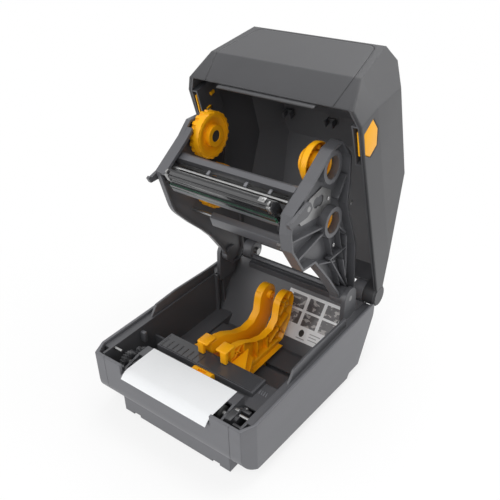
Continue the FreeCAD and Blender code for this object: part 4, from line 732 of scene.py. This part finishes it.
def set_rollers():
    """Two grooved rollers between a post and a stop."""
    rollers = bmesh.new()
    for y, z, x, radius in ROLLERS:
        waist = radius - GROOVE_DEPTH
        profile = [(x, 0), (x, radius)]
        for number in range(ROLLER_GROOVES):
            groove = x + 1 + number * GROOVE_PITCH
            profile += [(groove, radius), (groove + 0.3, waist)]
            profile += [(groove + 1.1, waist), (groove + 1.4, radius)]
        end = x + ROLLER_LENGTH
        turned(rollers, [*profile, (end, radius), (end, 0)], (y, z))
    block(rollers, (-85.4, 55.5, 56.2), (-79, 60, 68.5), 0.8)
    block(rollers, (-71.4, 37.6, 55.6), (-66, 41, 59.6), 0.6)
    set_piece("drive_rollers", rollers, "base", "gear_black", "carriage_grey")


def set_plinth_screws():
    under = bmesh.new()
    for x in PLINTH_SCREW_X:
        for y in PLINTH_SCREW_Y:
            screw(under, (x, y, PLINTH_Z), (0, 0, -1), 3.2, 0.8)
    set_piece("plinth_screws", under, "base", "steel")


def set_deck_marks():
    marks = bmesh.new()
    for number in range(DECK_MARKS):
        x = DECK_MARK_X + number * DECK_MARK_PITCH
        block(marks, (x, 64, 55.9), (x + 1, 70, 56.25), 0.1, ("Z", 12))
    set_piece("deck_marks", marks, "base", "key_grey")


def set_rim_rails():
    """Raised rails inside the side walls, which the lid closes over."""
    rails = bmesh.new()
    for x in (-RAIL_INNER - RAIL_WIDTH, RAIL_INNER):
        plate(rails, RAIL_OUTLINE, (x, x + RAIL_WIDTH))
    rounded(rails, rails.verts, 0.6)
    set_piece("rim_rails", rails, "base", "inner_black")


# Studio: pale floor, soft lamps and a white surround, in metres and watts
WHITE = (1, 1, 1, 1)
SKY_LIGHT = 0.4
FLOOR_REACH = 4.0
# Name, place, aim, size and power of each lamp
LAMPS = (
    ("key_lamp", (0.4, -1.25, 1.35), (0, 0, 0.15), (1.0, 1.0), 10),
    ("fill_lamp", (-0.9, -1.3, 0.7), (0, 0, 0.15), (1.2, 1.0), 7),
    ("top_lamp", (0.1, 0.5, 1.6), (0, 0, 0.1), (1.2, 1.0), 13),
    ("rim_lamp", (1.0, 0.9, 0.9), (0, 0, 0.15), (0.8, 0.8), 6),
)


def cleared(owner):
    """An empty node tree for a world or a material."""
    owner.use_nodes = True
    owner.node_tree.nodes.clear()
    return owner.node_tree


def seen_rays(tree):
    """1 on rays that show the surround, straight, mirrored or through glass, and 0 on those that light."""
    path = tree.nodes.new("ShaderNodeLightPath")
    straight, mirrored, through = (Flow(tree, path.outputs[f"Is {kind} Ray"])
                                   for kind in ("Camera", "Glossy", "Transmission"))
    return straight.most(mirrored).most(through)


def set_surround():
    world = bpy.data.worlds.new("studio")
    bpy.context.scene.world = world
    tree = cleared(world)
    seen = seen_rays(tree)
    soft = seen.node("ShaderNodeBackground", Color=WHITE, Strength=SKY_LIGHT)
    white = seen.node("ShaderNodeBackground", Color=WHITE, Strength=1.0)
    sky = seen.node("ShaderNodeMixShader", i0=seen, i1=soft, i2=white)
    tree.links.new(sky.socket, tree.nodes.new("ShaderNodeOutputWorld").inputs["Surface"])


def floor_white():
    """Matt white that keeps the object's shadow near it and fades to plain white further out."""
    material = bpy.data.materials.new("floor_white")
    tree = cleared(material)
    seen = seen_rays(tree)
    matt = seen.node("ShaderNodeBsdfDiffuse", Color=(0.92, 0.92, 0.92, 1))
    glow = seen.node("ShaderNodeEmission", Color=WHITE, Strength=1.0)
    place = Flow(tree, tree.nodes.new("ShaderNodeTexCoord").outputs["Object"])
    far = place.node("ShaderNodeVectorMath", {"operation": "LENGTH"}, output=1, i0=place)
    clear = (far * 0.7 + 0.68).least(1.0)
    blend = seen.node("ShaderNodeMixShader", i0=seen * clear, i1=matt, i2=glow)
    tree.links.new(blend.socket, tree.nodes.new("ShaderNodeOutputMaterial").inputs["Surface"])
    return material


def set_floor():
    form = bmesh.new()
    bmesh.ops.create_grid(form, x_segments=1, y_segments=1, size=FLOOR_REACH)
    data = bpy.data.meshes.new("floor")
    form.to_mesh(data)
    form.free()
    data.materials.append(floor_white())
    floor = bpy.data.objects.new("floor", data)
    bpy.context.scene.collection.objects.link(floor)


def set_lamps():
    for name, place, aim, size, power in LAMPS:
        light = bpy.data.lights.new(name, "AREA")
        light.shape = "RECTANGLE"
        light.size, light.size_y = size
        light.energy = power
        thing = bpy.data.objects.new(name, light)
        bpy.context.scene.collection.objects.link(thing)
        thing.location = place
        thing.rotation_euler = (Vector(aim) - Vector(place)).to_track_quat("-Z", "Y").to_euler()


bpy.context.scene.view_settings.view_transform = "Standard"
stand_camera()
dress_solids()
set_guides()
set_hubs()
set_wiring()
set_tray()
set_head_parts()
set_plate_parts()
set_liner_clips()
set_release_caps()
set_bearing_block()
set_front_clips()
set_rollers()
set_plinth_screws()
set_deck_marks()
set_rim_rails()
set_surround()
set_floor()
set_lamps()
